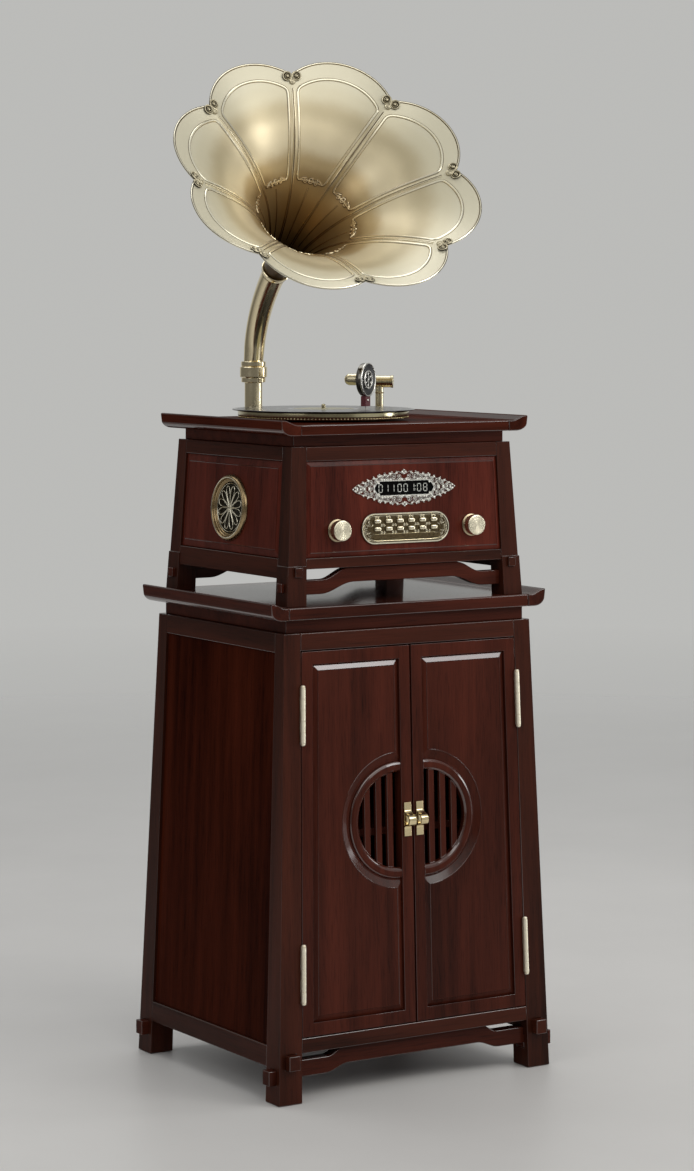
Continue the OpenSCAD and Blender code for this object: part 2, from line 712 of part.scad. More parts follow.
module head_stretchers() color(wood) front_and_back() {
    half = inner_w(head, head[0] + head_stretcher_low + head_stretcher_h) - touch;
    y = post_mid_y(head, head_tenon_front_z);
    union() {
        stretcher(head, half, 156, 95, head_stretcher_low, head_stretcher_h,
            under_rail(head, head_front_rail_low, head_rail_t) - head_stretcher_low - head_stretcher_h - 0.2,
            head_stretcher_t, -y);
        both_sides() {
            tenon_x(head, head_tenon_front_z, head_tenon_t, head_tenon_h, head_tenon_out);
            tongue(half, y, min(head_tenon_t, head_stretcher_t),
                max(head_tenon_front_z - head_tenon_h / 2, head[0] + head_stretcher_low),
                min(head_tenon_front_z + head_tenon_h / 2, head[0] + head_stretcher_low + head_stretcher_h));
        }
    }
}

// Panels and boards of the sound unit

panel_field = 1;
panel_groove = 4;
panel_back = panel_groove + head_panel_t;
panel_w = [front_panel_low + touch, front_panel_high - touch];
button_rows_w = button_plate_w - 0.5;

// Flat-ended slot with chamfered corners, centred on the origin
module long_octagon(l, h, e = 0) {
    polygon([[-l / 2 - e, 0], [-l / 2 + h * 0.35, h / 2 + e], [l / 2 - h * 0.35, h / 2 + e], [l / 2 + e, 0],
        [l / 2 - h * 0.35, -h / 2 - e], [-l / 2 + h * 0.35, -h / 2 - e]]);
}

module round_bar(r, y0, y1) {
    translate([0, y1, 0]) rotate([90, 0, 0]) cylinder(r = r, h = y1 - y0, $fn = fn_round);
}

function button_place(i) = [(i % 6 - 2.5) * button_pitch, button_rows_w + (i < 6 ? button_row_pitch : 0)];

module at_button(i) {
    translate([button_place(i)[0], 0, button_place(i)[1]]) children();
}

stem_w = button_len - 4;
stem_h = button_h - 3;
pocket_y = 8;

module button_holes() {
    for (i = [0:11]) at_button(i) {
        translate([-button_len / 2 - running, -10, -button_h / 2 - running])
            cube([button_len + 2 * running, 10 + pocket_y, button_h + 2 * running]);
        translate([-stem_w / 2 - running, 0, -stem_h / 2 - running])
            cube([stem_w + 2 * running, 40, stem_h + 2 * running]);
    }
}

module head_front_panel() color(wood) on_front(head) difference() {
    fielded_panel([for (w = panel_w) touch - inner_w(head, head[0] + w)],
        [for (w = panel_w) inner_w(head, head[0] + w) - touch],
        panel_w, panel_field, panel_groove, panel_back, 8);
    translate([0, 0, display_w]) plate(-5, 40) long_octagon(display_len, display_h, touch);
    button_holes();
    both_sides() translate([knob_x, 0, button_plate_w]) round_bar(knob_shaft_r + running, -5, 40);
}

side_panel_left = [for (w = panel_w) touch - inner_d(head, head[0] + w)];
side_panel_right = [for (w = panel_w) inner_d(head, head[0] + w) - touch];

module head_panels() color(wood) {
    both_sides() on_left(head) difference() {
        fielded_panel(side_panel_left, side_panel_right, panel_w, panel_field, panel_groove, panel_back, 12);
        translate([0, 0, rosette_w]) round_bar(rosette_r - 8, -5, 40);
    }
    mirror([0, 1, 0]) on_front(head) difference() {
        plate(panel_groove, panel_back) polygon([
            [touch - inner_w(head, head[0] + panel_w[0]), panel_w[0]], [inner_w(head, head[0] + panel_w[0]) - touch, panel_w[0]],
            [inner_w(head, head[0] + panel_w[1]) - touch, panel_w[1]], [touch - inner_w(head, head[0] + panel_w[1]), panel_w[1]]]);
        translate([-inlet_w / 2 - touch, 0, inlet_z - inlet_h / 2 - touch])
            cube([inlet_w + 2 * touch, 40, inlet_h + 2 * touch]);
    }
}

head_floor_z = head[0] + head_side_rail_low + head_side_rail_h + touch;
head_floor_t = 10;

module head_floor() color(wood) {
    z = head_floor_z + head_floor_t;
    x = half_w(head, z) - panel_back - touch;
    y = half_d(head, z) - head_rail_t - touch;
    px = inner_w(head, z) - touch;
    py = inner_d(head, z) - touch;
    translate([0, 0, head_floor_z]) linear_extrude(head_floor_t) polygon([[-px, -y], [px, -y], [px, -py], [x, -py],
        [x, py], [px, py], [px, y], [-px, y], [-px, py], [-x, py], [-x, -py], [-px, -py]]);
}

module head_neck() color(wood) neck(head, head_neck_h);

board_z = head[1] + head_neck_h;
bearing_r = 12;
socket_r = 12;

module head_top() color(wood) difference() {
    top(board_z, head_top_t, head_tips_w, head_tips_d, head_body_w / 2 - 10);
    translate([spindle_x, spindle_y, board_z - 1]) cylinder(r = bearing_r + touch, h = 40, $fn = fn_round);
    translate([arm_x, arm_y, board_z - 1]) cylinder(r = arm_root_r + touch, h = 40, $fn = fn_round);
    translate([horn_x, horn_y, board_z - 1]) cylinder(r = socket_r + touch, h = 40, $fn = fn_round);
}

// Controls on the front panel

module display_bezel() color(steel) on_front(head) translate([0, 0, display_w]) difference() {
    union() {
        plate(-1.6, panel_field - touch) polygon([[-bezel_len / 2, 0], [-bezel_len * 0.33, bezel_h * 0.28],
            [-bezel_len * 0.18, bezel_h * 0.38], [0, bezel_h / 2], [bezel_len * 0.18, bezel_h * 0.38],
            [bezel_len * 0.33, bezel_h * 0.28], [bezel_len / 2, 0], [bezel_len * 0.33, -bezel_h * 0.28],
            [bezel_len * 0.18, -bezel_h * 0.38], [0, -bezel_h / 2], [-bezel_len * 0.18, -bezel_h * 0.38],
            [-bezel_len * 0.33, -bezel_h * 0.28]]);
        for (p = [[0.32, 0.25, 0.12], [0.2, 0.36, 0.12], [0.1, 0.35, 0.11], [0, 0.38, 0.12], [0.4, 0.13, 0.11]])
            both_sides() mirror_up() translate([p[0] * bezel_len, 0, p[1] * bezel_h])
                round_bar(p[2] * bezel_h, -1.6, panel_field - touch);
    }
    plate(-5, 5) long_octagon(display_len, display_h, touch);
}

module mirror_up() {
    children();
    mirror([0, 0, 1]) children();
}

module display_module() color(black) on_front(head) translate([0, 0, display_w]) {
    plate(-0.4, panel_back + 2) long_octagon(display_len, display_h);
    translate([-display_len / 2 - 8, panel_back + touch, -display_h / 2 - 7])
        cube([display_len + 16, 16, display_h + 14]);
}

module stadium(l, h, y0, y1) {
    both_sides() translate([l / 2 - h / 2, 0, 0]) round_bar(h / 2, y0, y1);
    translate([-l / 2 + h / 2, y0, -h / 2]) cube([l - h, y1 - y0, h]);
}

module button_plate() color(brass) on_front(head) difference() {
    translate([0, 0, button_plate_w]) {
        difference() {
            stadium(button_plate_len, button_plate_h, -2.2, panel_field - touch);
            stadium(button_plate_len - 4, button_plate_h - 4, -4, -1.2);
        }
        translate([-button_plate_len / 2 + 15, -2, -button_plate_h / 2 + 9]) for (i = [0:3])
            translate([i * 1.5, 0, i * 1.7]) rotate([0, 90, 0])
                cylinder(r = 0.9, h = button_plate_len - 30 - i * 3, $fn = 16);
        both_sides() translate([button_plate_len / 2 - 13, 0, 0]) for (s = [-1, 1])
            translate([0, 0, s * 8]) difference() {
                round_bar(7, -2, 0);
                round_bar(4.4, -4, -1.3);
            }
    }
    button_holes();
}

button_front = -2.2 - button_out;

module button(i) color(brass) on_front(head) at_button(i) {
    intersection() {
        translate([-button_len / 2, button_front, -button_h / 2])
            cube([button_len, pocket_y - 2.2 - button_front, button_h]);
        translate([-button_len, button_front + button_h * 0.62, 0]) rotate([0, 90, 0])
            union() {
                cylinder(r = button_h * 0.62, h = 2 * button_len, $fn = fn_round);
                translate([-button_h, 0, 0]) cube([2 * button_h, 40, 2 * button_len]);
            }
    }
    translate([-stem_w / 2, pocket_y - 2.3, -stem_h / 2]) cube([stem_w, panel_back + 3 - pocket_y, stem_h]);
}

knob_shaft_r = 3;

module knob() color(brass) on_front(head) translate([-knob_x, panel_field, button_plate_w]) rotate([90, 0, 0])
    rotate_extrude($fn = fn_round) polygon([[0, -panel_back - 8], [knob_shaft_r, -panel_back - 8],
        [knob_shaft_r, rest_gap], [knob_r + 1.5, rest_gap], [knob_r + 1.5, 2.2], [knob_r - 1.2, 2.6],
        [knob_r - 1.2, 4], [knob_r - 0.4, 4.6], [knob_r, 5], [knob_r, knob_len - 1], [knob_r - 1, knob_len],
        [0, knob_len]]);

// Ring, pierced centre and flower of one loudspeaker grille
module rosette() on_left(head) translate([0, panel_field - touch, rosette_w]) rotate([90, 0, 0]) {
    rotate_extrude($fn = 96) polygon([[rosette_r - 7, 0], [rosette_r, 0], [rosette_r, 1.5], [rosette_r - 1.5, 3.5],
        [rosette_r - 4, 4.2], [rosette_r - 6, 3], [rosette_r - 7, 1.5]]);
    difference() {
        cylinder(r = rosette_r - 6, h = 1, $fn = 96);
        for (k = [0:2]) for (i = [0:11]) rotate([0, 0, i * 30 + k * 15]) translate([18 + k * 9, 0, -1])
            cylinder(r = 2.6, h = 4, $fn = 24);
    }
    for (i = [0:11]) rotate([0, 0, i * 30]) translate([25, 0, 0.5]) rotate_extrude($fn = 32)
        translate([9.5, 0]) polygon([[-0.8, 0], [0.8, 0], [0.8, 1.6], [-0.8, 1.6]]);
    cylinder(r = 8, h = 3, $fn = fn_round);
}

module speaker_rosettes() color(bronze) both_sides() rosette();

module speakers() color(black) both_sides() on_left(head) translate([0, panel_back + touch, rosette_w])
    rotate([-90, 0, 0]) rotate_extrude($fn = fn_round) polygon([[rosette_r - 9, 0], [rosette_r + 1, 0],
        [rosette_r + 1, 3], [rosette_r - 6, 4], [24, 28], [24, 42], [0, 42], [0, 24], [12, 22], [rosette_r - 12, 3]]);

amp_w = 190;
amp_d = 110;

module amplifier() color(black) translate([-amp_w / 2, -10, head_floor_z + head_floor_t + touch]) {
    cube([amp_w, amp_d, 50]);
    for (i = [0:11]) translate([4 + i * 16, 4, 49]) cube([3, amp_d - 8, 15]);
}

inlet_w = 48;
inlet_h = 28;
inlet_z = 100;

module power_inlet() color(black) mirror([0, 1, 0]) on_front(head) translate([0, 0, inlet_z]) {
    difference() {
        union() {
            translate([-inlet_w / 2, panel_groove - 2.5, -inlet_h / 2]) cube([inlet_w, 26, inlet_h]);
            translate([-inlet_w / 2 - 5, panel_groove - 2.5, -inlet_h / 2 - 4]) cube([inlet_w + 10, 2.48, inlet_h + 8]);
        }
        translate([-13, 0, -9]) cube([26, 18, 18]);
    }
    for (p = [[-7, -2], [7, -2], [0, 4]]) translate([p[0] - 1, 4, p[1] - 2]) cube([2, 15, 4]);
}

// Turntable

platter_z = deck_z + platter_lift;
record_z = platter_z + platter_t + touch;
bearing_plate_r = platter_r - 81;
shaft_drop = 33;

module turntable_base() color(black) translate([spindle_x, spindle_y, 0]) {
    difference() {
        union() {
            translate([0, 0, deck_z + touch]) cylinder(r = bearing_plate_r, h = platter_lift - 0.6, $fn = 96);
            translate([0, 0, deck_z - shaft_drop - 5]) cylinder(r = bearing_r, h = shaft_drop + 6, $fn = fn_round);
        }
        translate([0, 0, deck_z - shaft_drop - 1]) cylinder(r = 5 + running, h = 2 * shaft_drop, $fn = fn_round);
    }
}

module platter() color(steel) translate([spindle_x, spindle_y, 0]) rotate_extrude($fn = 180)
    polygon([[0, deck_z - shaft_drop], [5, deck_z - shaft_drop], [5, platter_z], [platter_r - 3, platter_z],
        [platter_r, platter_z + 2], [platter_r, platter_z + platter_t - 1], [platter_r - 1, platter_z + platter_t],
        [spindle_r, platter_z + platter_t], [spindle_r, record_z + record_t],
        [spindle_r - 0.2, record_z + record_t], [spindle_r - 0.2, record_z + record_t + spindle_out - 2],
        [spindle_r - 1.4, record_z + record_t + spindle_out], [0, record_z + record_t + spindle_out]]);

module record() color(black) translate([spindle_x, spindle_y, record_z]) rotate_extrude($fn = 180)
    polygon([[spindle_r + running, 0], [record_r - 0.6, 0], [record_r, record_t / 2], [record_r - 0.6, record_t],
        [spindle_r + running, record_t]]);

// Tonearm: X runs along the arm, the origin is on the post's axis at the deck

arm_root_r = 9;
arm_post_r = 7;
arm_collar_h = arm_axle_h - crossbar_r - 8;
arm_end_x = arm_reach - 22 * cos(soundbox_turn);
arm_side_y = -crossbar_len / 2 - 8;
soundbox_z = record_z + record_t + soundbox_h - deck_z;

module at_arm() {
    translate([arm_x, arm_y, deck_z]) rotate([0, 0, arm_angle]) children();
}

// Fixed foot and sleeve
module tonearm_post() color(brass) at_arm() rotate_extrude($fn = fn_round)
    polygon([[4 + running, -24], [arm_root_r, -24], [arm_root_r, touch], [20, touch], [20, 2], [16, 4],
        [arm_post_r + 1.5, 5], [arm_post_r, 7], [arm_post_r, arm_collar_h - 2], [arm_post_r + 1, arm_collar_h - 1],
        [arm_post_r + 1, arm_collar_h], [4 + running, arm_collar_h]]);

// Swivel: spindle, saddle and crossbar with a stub for the lifting arm
module tonearm_crossbar() color(brass) at_arm() {
    rotate_extrude($fn = fn_round) polygon([[0, -20], [4, -20], [4, arm_collar_h + running],
        [arm_post_r, arm_collar_h + running], [arm_post_r, arm_axle_h], [0, arm_axle_h]]);
    translate([0, 0, arm_axle_h]) rotate([-90, 0, 0]) {
        translate([0, 0, -crossbar_len / 2]) cylinder(r = crossbar_r, h = crossbar_len, $fn = fn_round);
        translate([0, 0, crossbar_len / 2 - 1]) cylinder(r = crossbar_r + 0.6, h = 4, $fn = fn_round);
        translate([0, 0, -crossbar_len / 2 - 18]) cylinder(r = 4, h = 20, $fn = fn_round);
        translate([0, 0, -crossbar_len / 2 - 18]) cylinder(r = 6.5, h = 1.7, $fn = fn_round);
    }
}

// Lifting arm: hub on the stub, long tube, and the domed elbow behind the soundbox
module tonearm_tube() color(brass) at_arm() {
    rise = soundbox_z - arm_axle_h;
    run = arm_end_x;
    side = arm_side_y + 22 * sin(soundbox_turn);
    difference() {
        union() {
            translate([0, arm_side_y + 7.9, arm_axle_h]) rotate([90, 0, 0])
                cylinder(r = crossbar_r, h = 15.6, $fn = fn_round);
            translate([0, arm_side_y, arm_axle_h])
                rotate([0, 90 - atan(rise / run), -atan(side / run)])
                    cylinder(r = 7, h = norm([run, side, rise]) - 3, $fn = fn_round);
        }
        translate([0, 0, arm_axle_h]) rotate([90, 0, 0]) cylinder(r = 4 + running, h = 80, $fn = fn_round);
    }
    at_soundbox() {
        translate([0, 0, -soundbox_t / 2 - 8]) cylinder(r = 5, h = 8 - touch, $fn = fn_round);
        translate([0, 0, -28]) cylinder(r = 9.5, h = 14, $fn = fn_round);
        translate([0, 0, -28]) sphere(r = 9.5, $fn = fn_round);
    }
}

module at_soundbox() {
    translate([arm_reach, 0, soundbox_z]) rotate([0, 0, soundbox_turn]) rotate([0, 90, 0]) children();
}

module soundbox() color(steel) at_soundbox() {
    rotate_extrude($fn = 96) polygon([[0, -soundbox_t / 2], [soundbox_r - 2, -soundbox_t / 2],
        [soundbox_r, -soundbox_t / 2 + 2], [soundbox_r, soundbox_t / 2 - 1.5], [soundbox_r - 1.5, soundbox_t / 2],
        [soundbox_r - 4, soundbox_t / 2], [soundbox_r - 5, soundbox_t / 2 - 3], [soundbox_r * 0.6, soundbox_t / 2 - 3],
        [soundbox_r * 0.6 - 1, soundbox_t / 2], [soundbox_r * 0.5, soundbox_t / 2],
        [soundbox_r * 0.5 - 1, soundbox_t / 2 - 2.5], [0, soundbox_t / 2 - 2.5]]);
    for (i = [0:5]) rotate([0, 0, i * 60]) translate([0, -1.2, 0]) cube([soundbox_r * 0.5 - 0.5, 2.4, soundbox_t / 2 - 1]);
    cylinder(r = 4, h = soundbox_t / 2, $fn = fn_round);
}

module cartridge() color([0.6, 0.08, 0.08]) translate([0, 0, touch]) at_arm()
    translate([arm_reach, 0, soundbox_z]) rotate([0, 0, soundbox_turn]) difference() {
        union() {
            translate([-4.5, -9, 5 - soundbox_h]) cube([9, 18, soundbox_h - 27]);
            translate([0, 0, -soundbox_h]) cylinder(r1 = 0.3, r2 = 1.2, h = soundbox_h - soundbox_r + 5, $fn = 24);
        }
        rotate([0, 90, 0]) cylinder(r = soundbox_r + touch, h = 40, center = true, $fn = 96);
    }

// Horn: a fixed tube, a turning collar, the elbow and the bell

joint_z = deck_z + horn_joint_h;
collar_h = 27;

module horn_socket() color(brass) translate([horn_x, horn_y, 0]) rotate_extrude($fn = 96) polygon([
    [socket_r - 2, deck_z - 16], [socket_r, deck_z - 16], [socket_r, deck_z + touch], [24, deck_z + touch],
    [24, deck_z + 1.4], [22, deck_z + 2.4], [horn_tube_r + 2, deck_z + 3.4], [horn_tube_r, deck_z + 5],
    [horn_tube_r, joint_z - 9], [horn_tube_r + 5.5, joint_z - 8], [horn_tube_r + 5.5, joint_z - 1],
    [horn_tube_r + 5, joint_z - 0.5], [socket_r + running, joint_z - 0.5], [socket_r + running, joint_z - 42],
    [socket_r - 2, joint_z - 42]]);

module horn_collar() color(brass) translate([horn_x, horn_y, joint_z]) rotate_extrude($fn = 96) polygon([
    [socket_r - 2, -40], [socket_r, -40], [socket_r, 0], [horn_tube_r + 7, 0], [horn_tube_r + 8, 1],
    [horn_tube_r + 8, 17], [horn_tube_r + 7, 18], [horn_tube_r + 4, 18.6], [horn_tube_r + 6, 19.4],
    [horn_tube_r + 6, 26.2], [horn_tube_r + 5.2, collar_h], [14.5, collar_h], [14.5, 14], [socket_r - 2, 12]]);

// Axes of a horn section: sideways, up-and-back, and along the horn
function horn_axes(turn, slope) = [[cos(turn), -sin(turn), 0],
    [sin(slope) * sin(turn), sin(slope) * cos(turn), cos(slope)],
    [-cos(slope) * sin(turn), -cos(slope) * cos(turn), sin(slope)]];

function bezier(p, t) = let (u = 1 - t) u * u * u * p[0] + 3 * u * u * t * p[1] + 3 * u * t * t * p[2] + t * t * t * p[3];
function bezier_slope(p, t) = let (u = 1 - t,
    d = u * u * (p[1] - p[0]) + 2 * u * t * (p[2] - p[1]) + t * t * (p[3] - p[2])) atan2(d[1], d[0]);

elbow_end = [elbow_reach, elbow_rise];
elbow_back = elbow_end - 13 * [cos(elbow_slope), sin(elbow_slope)];
elbow_line = [[0, 16], [0, 95], elbow_back - 36 * [cos(elbow_slope), sin(elbow_slope)], elbow_back];
elbow_steps = 18;
bell_line = [elbow_end, elbow_end + 80 * [cos(elbow_slope), sin(elbow_slope)],
    [mouth_reach, mouth_rise] - 90 * [cos(mouth_slope - 2), sin(mouth_slope - 2)], [mouth_reach, mouth_rise]];

function in_plane(p) = [-sin(horn_turn) * p[0], -cos(horn_turn) * p[0], p[1]];
function ring(centre, axes, r, n) = [for (j = [0:n - 1])
    centre + r * (cos(360 * j / n) * axes[0] + sin(360 * j / n) * axes[1])];

// Faces of a tube wall made of m outer rings and then m inner rings, each with n points
function wall_faces(m, n) = concat(
    [for (i = [0:m - 2]) for (j = [0:n - 1])
        [i * n + j, (i + 1) * n + j, (i + 1) * n + (j + 1) % n, i * n + (j + 1) % n]],
    [for (i = [m:2 * m - 2]) for (j = [0:n - 1])
        [i * n + j, i * n + (j + 1) % n, (i + 1) * n + (j + 1) % n, (i + 1) * n + j]],
    [for (j = [0:n - 1]) [j, (j + 1) % n, m * n + (j + 1) % n, m * n + j]],
    [for (j = [0:n - 1]) [(m - 1) * n + j, (2 * m - 1) * n + j,
        (2 * m - 1) * n + (j + 1) % n, (m - 1) * n + (j + 1) % n]]);

elbow_r0 = 14.4;
elbow_r1 = 19.4;
elbow_lip = 3.4;
elbow_wall = 1.2;
elbow_n = 40;
bell_in = 21;

// Centre, slope, outer radius and inner radius of each section
elbow_sections = concat(
    [[elbow_line[0], 90, elbow_r0, elbow_r0 - elbow_wall], [[0, collar_h], 90, elbow_r0, elbow_r0 - elbow_wall],
    [[0, collar_h + 0.1], 90, elbow_r0 + 2.2, elbow_r0 - elbow_wall + 0.1]],
    [for (i = [4:elbow_steps]) let (t = i / elbow_steps)
        [bezier(elbow_line, t), bezier_slope(elbow_line, t), mix(elbow_r0 + 2.4, elbow_r1 + 1, t),
        mix(elbow_r0 - elbow_wall, elbow_r1 - 0.8, t)]],
    [[elbow_back + 0.2 * [cos(elbow_slope), sin(elbow_slope)], elbow_slope, elbow_r1 + 1, bell_in],
    [elbow_back + 4 * [cos(elbow_slope), sin(elbow_slope)], elbow_slope, bell_in + elbow_lip - 1.6, bell_in],
    [elbow_end - 3 * [cos(elbow_slope), sin(elbow_slope)], elbow_slope, bell_in + elbow_lip - 1.2, bell_in],
    [elbow_end - 2 * [cos(elbow_slope), sin(elbow_slope)], elbow_slope, bell_in + elbow_lip, bell_in],
    [elbow_end, elbow_slope, bell_in + elbow_lip, bell_in]]);

module horn_elbow() color(bronze) translate([horn_x, horn_y, joint_z]) polyhedron(
    points = concat(
        [for (q = elbow_sections) each ring(in_plane(q[0]), horn_axes(horn_turn, q[1]), q[2], elbow_n)],
        [for (q = elbow_sections) each ring(in_plane(q[0]), horn_axes(horn_turn, q[1]), q[3], elbow_n)]),
    faces = wall_faces(len(elbow_sections), elbow_n), convexity = 6);

// Bell: its radius falls off exponentially from the mouth to the throat
bell_len = norm([mouth_reach, mouth_rise] - elbow_end);
bell_throat_r = bell_in - bell_wall - touch;
bell_fade = 104;
bell_k = exp(-bell_len / bell_fade);
bell_r0 = (bell_throat_r - notch_r * bell_k) / (1 - bell_k);
lobe_r = ((petal_r - notch_r * cos(180 / petals)) ^ 2 + (notch_r * sin(180 / petals)) ^ 2)
    / (2 * (petal_r - notch_r * cos(180 / petals)));
lobe_c = petal_r - lobe_r;
lobe_dome = 5;
per_petal = 10;
bell_n = petals * per_petal;
bell_steps = 24;

function petal_angle(j) = (j % per_petal) / per_petal * 360 / petals - 180 / petals;
function rim_r(a) = lobe_c * cos(a) + sqrt(lobe_r * lobe_r - lobe_c * lobe_c * sin(a) * sin(a));
function bell_depth(r) = -bell_fade * ln((r - bell_r0) / (notch_r - bell_r0));
function bell_r(d) = bell_r0 + (notch_r - bell_r0) * exp(-d / bell_fade);

// Point of the bell: u is -1 at the end inside the elbow and runs from 0 at the throat to 1 at the rim,
// off is the distance behind the inner face
function bell_point(j, u, off) = let (
    a = petal_angle(j),
    d = mix(bell_len, bell_depth(rim_r(a)), max(u, 0)),
    t = 1 - max(d, 0) / bell_len,
    r = bell_r(d),
    tilt = atan((r - bell_r0) / bell_fade),
    out = off + lobe_dome * max(u, 0) ^ 2 * cos(a * petals / 2),
    axes = horn_axes(mix(horn_turn, horn_turn + mouth_turn, t),
        d > 0 ? mix(elbow_slope, mouth_slope, t) : mouth_slope),
    line = in_plane(u < 0 ? elbow_back + 0.5 * [cos(elbow_slope), sin(elbow_slope)] : bezier(bell_line, t)),
    angle = 360 * j / bell_n + petal_phase,
    radial = cos(angle) * axes[0] + sin(angle) * axes[1])
    line + (max(-d, 0) - out * sin(tilt)) * axes[2] + (r + out * cos(tilt)) * radial;

bell_u = concat([-1], [for (i = [0:bell_steps]) 1 - (1 - i / bell_steps) ^ 1.5]);

module horn_bell() color(brass) translate([horn_x, horn_y, joint_z]) polyhedron(
    points = concat(
        [for (u = bell_u) for (j = [0:bell_n - 1]) bell_point(j, u, bell_wall)],
        [for (u = bell_u) for (j = [0:bell_n - 1]) bell_point(j, u, 0)]),
    faces = wall_faces(len(bell_u), bell_n), convexity = 10);

// Pair of scrolls at each notch, lying on the seam
module horn_ornaments() color(bronze) translate([horn_x, horn_y, joint_z]) {
    axes = horn_axes(horn_turn + mouth_turn, mouth_slope);
    tilt = atan((notch_r - bell_r0) / bell_fade);
    for (k = [0:petals - 1]) {
        angle = 360 * k / petals + petal_phase;
        radial = cos(angle) * axes[0] + sin(angle) * axes[1];
        across = -sin(angle) * axes[0] + cos(angle) * axes[1];
        up = sin(tilt) * axes[2] - cos(tilt) * radial;
        out = cos(tilt) * axes[2] + sin(tilt) * radial;
        p = in_plane([mouth_reach, mouth_rise]) + (notch_r) * radial - 7 * out + 0.25 * up;
        multmatrix([[across[0], out[0], -up[0], p[0]], [across[1], out[1], -up[1], p[1]],
            [across[2], out[2], -up[2], p[2]]]) mirror([0, 0, 1]) {
            for (s = [-1, 1]) translate([s * 8, 3, 0]) {
                cylinder(r = 8.5, h = 2.2, $fn = 32);
                cylinder(r = 3, h = 3.4, $fn = 24);
            }
            translate([0, -6, 0]) cylinder(r = 5.5, h = 2.4, $fn = 24);
        }
    }
}

cabinet_posts();
cabinet_rails();
cabinet_stretchers();
cabinet_panels();
cabinet_boards();
cabinet_neck();
cabinet_top();
hinge_post_leaves();
door_frame();  // left_door_frame
door_panel();  // left_door_panel
door_window();  // left_door_window
door_handle();  // left_door_handle
door_leaves();  // left_door_leaves
mirror([1, 0, 0]) door_frame();  // right_door_frame
mirror([1, 0, 0]) door_panel();  // right_door_panel
mirror([1, 0, 0]) door_window();  // right_door_window
mirror([1, 0, 0]) door_handle();  // right_door_handle
mirror([1, 0, 0]) door_leaves();  // right_door_leaves
head_posts();
head_rails();
head_stretchers();
head_front_panel();
head_panels();
head_floor();
head_neck();
head_top();
display_bezel();
display_module();
button_plate();
button(0);  // button_01
button(1);  // button_02
button(2);  // button_03
button(3);  // button_04
button(4);  // button_05
button(5);  // button_06
button(6);  // button_07
button(7);  // button_08
button(8);  // button_09
button(9);  // button_10
button(10);  // button_11
button(11);  // button_12
knob();  // left_knob
mirror([1, 0, 0]) knob();  // right_knob
speaker_rosettes();
speakers();
amplifier();
power_inlet();
turntable_base();
platter();
record();
tonearm_post();
tonearm_crossbar();
tonearm_tube();
at_arm() soundbox();
cartridge();
horn_socket();
horn_collar();
horn_elbow();
horn_bell();
horn_ornaments();
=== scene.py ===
"""Looks of a floor-standing gramophone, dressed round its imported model.

Metres in Blender, millimetres in the sizes below. +Z is up, the doors face -Y, and the origin is on the
floor under the middle of the cabinet.
"""
from __future__ import annotations

import functools
import logging
import math
from dataclasses import dataclass, field
from enum import Enum

import bmesh
import bpy
import numpy as np
from bpy.types import Material, Node, NodeSocket, NodeTree, Object
from mathutils import Matrix, Vector


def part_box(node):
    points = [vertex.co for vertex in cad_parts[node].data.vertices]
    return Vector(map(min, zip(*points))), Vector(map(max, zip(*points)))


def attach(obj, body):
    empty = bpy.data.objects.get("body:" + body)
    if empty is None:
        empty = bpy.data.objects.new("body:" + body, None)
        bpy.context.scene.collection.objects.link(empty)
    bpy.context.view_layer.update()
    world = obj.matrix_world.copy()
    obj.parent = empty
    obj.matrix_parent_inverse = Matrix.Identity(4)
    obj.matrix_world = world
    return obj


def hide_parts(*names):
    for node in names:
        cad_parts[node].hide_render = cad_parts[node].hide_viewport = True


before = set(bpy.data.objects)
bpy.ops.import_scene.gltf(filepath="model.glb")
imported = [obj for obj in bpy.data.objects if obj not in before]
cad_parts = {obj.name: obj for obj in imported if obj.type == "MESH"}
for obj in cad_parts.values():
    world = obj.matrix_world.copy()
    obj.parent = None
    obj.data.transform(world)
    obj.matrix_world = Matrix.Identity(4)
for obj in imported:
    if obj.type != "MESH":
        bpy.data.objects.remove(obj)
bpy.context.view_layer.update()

Array = np.ndarray
Colour = tuple[float, float, float]
MM = 0.001
TAU = 2 * math.pi
WELD = 2e-6              # metres within which two points are one
SLIVER = 3e-5            # width in metres under which a face has no area
COPLANAR = 0.8           # degrees under which two faces are one
ARRIS_FROM = 28          # degrees above which an edge is eased
SHARP_FROM = 9           # degrees above which an eased board's edge is sharp
QUARTERS = [(1, 1), (-1, 1), (1, -1), (-1, -1)]     # signs of a flat point's mirror images
LOG = logging.getLogger("gramophone")


class Slot(Enum):
    """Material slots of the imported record."""

    WOOD = "lacquered_wood"
    BRASS = "brass"
    BRONZE = "antique_brass"
    NICKEL = "nickel"
    BLACK = "black_plastic"
    VINYL = "vinyl"
    RED = "red_plastic"


class Grain(Enum):
    """Way in which a board's grain runs: along its longest side, or upright."""

    LONG = "long"
    UPRIGHT = "upright"


# Shapes


def unit(v: Array) -> Array:
    """Returns vectors divided by their lengths."""
    return v / np.maximum(np.linalg.norm(v, axis=-1, keepdims=True), 1e-12)


def direction(degrees: float | Array) -> Array:
    """Returns (cos a, sin a) for an angle in degrees."""
    a = np.radians(degrees)
    return np.stack([np.cos(a), np.sin(a)], -1)


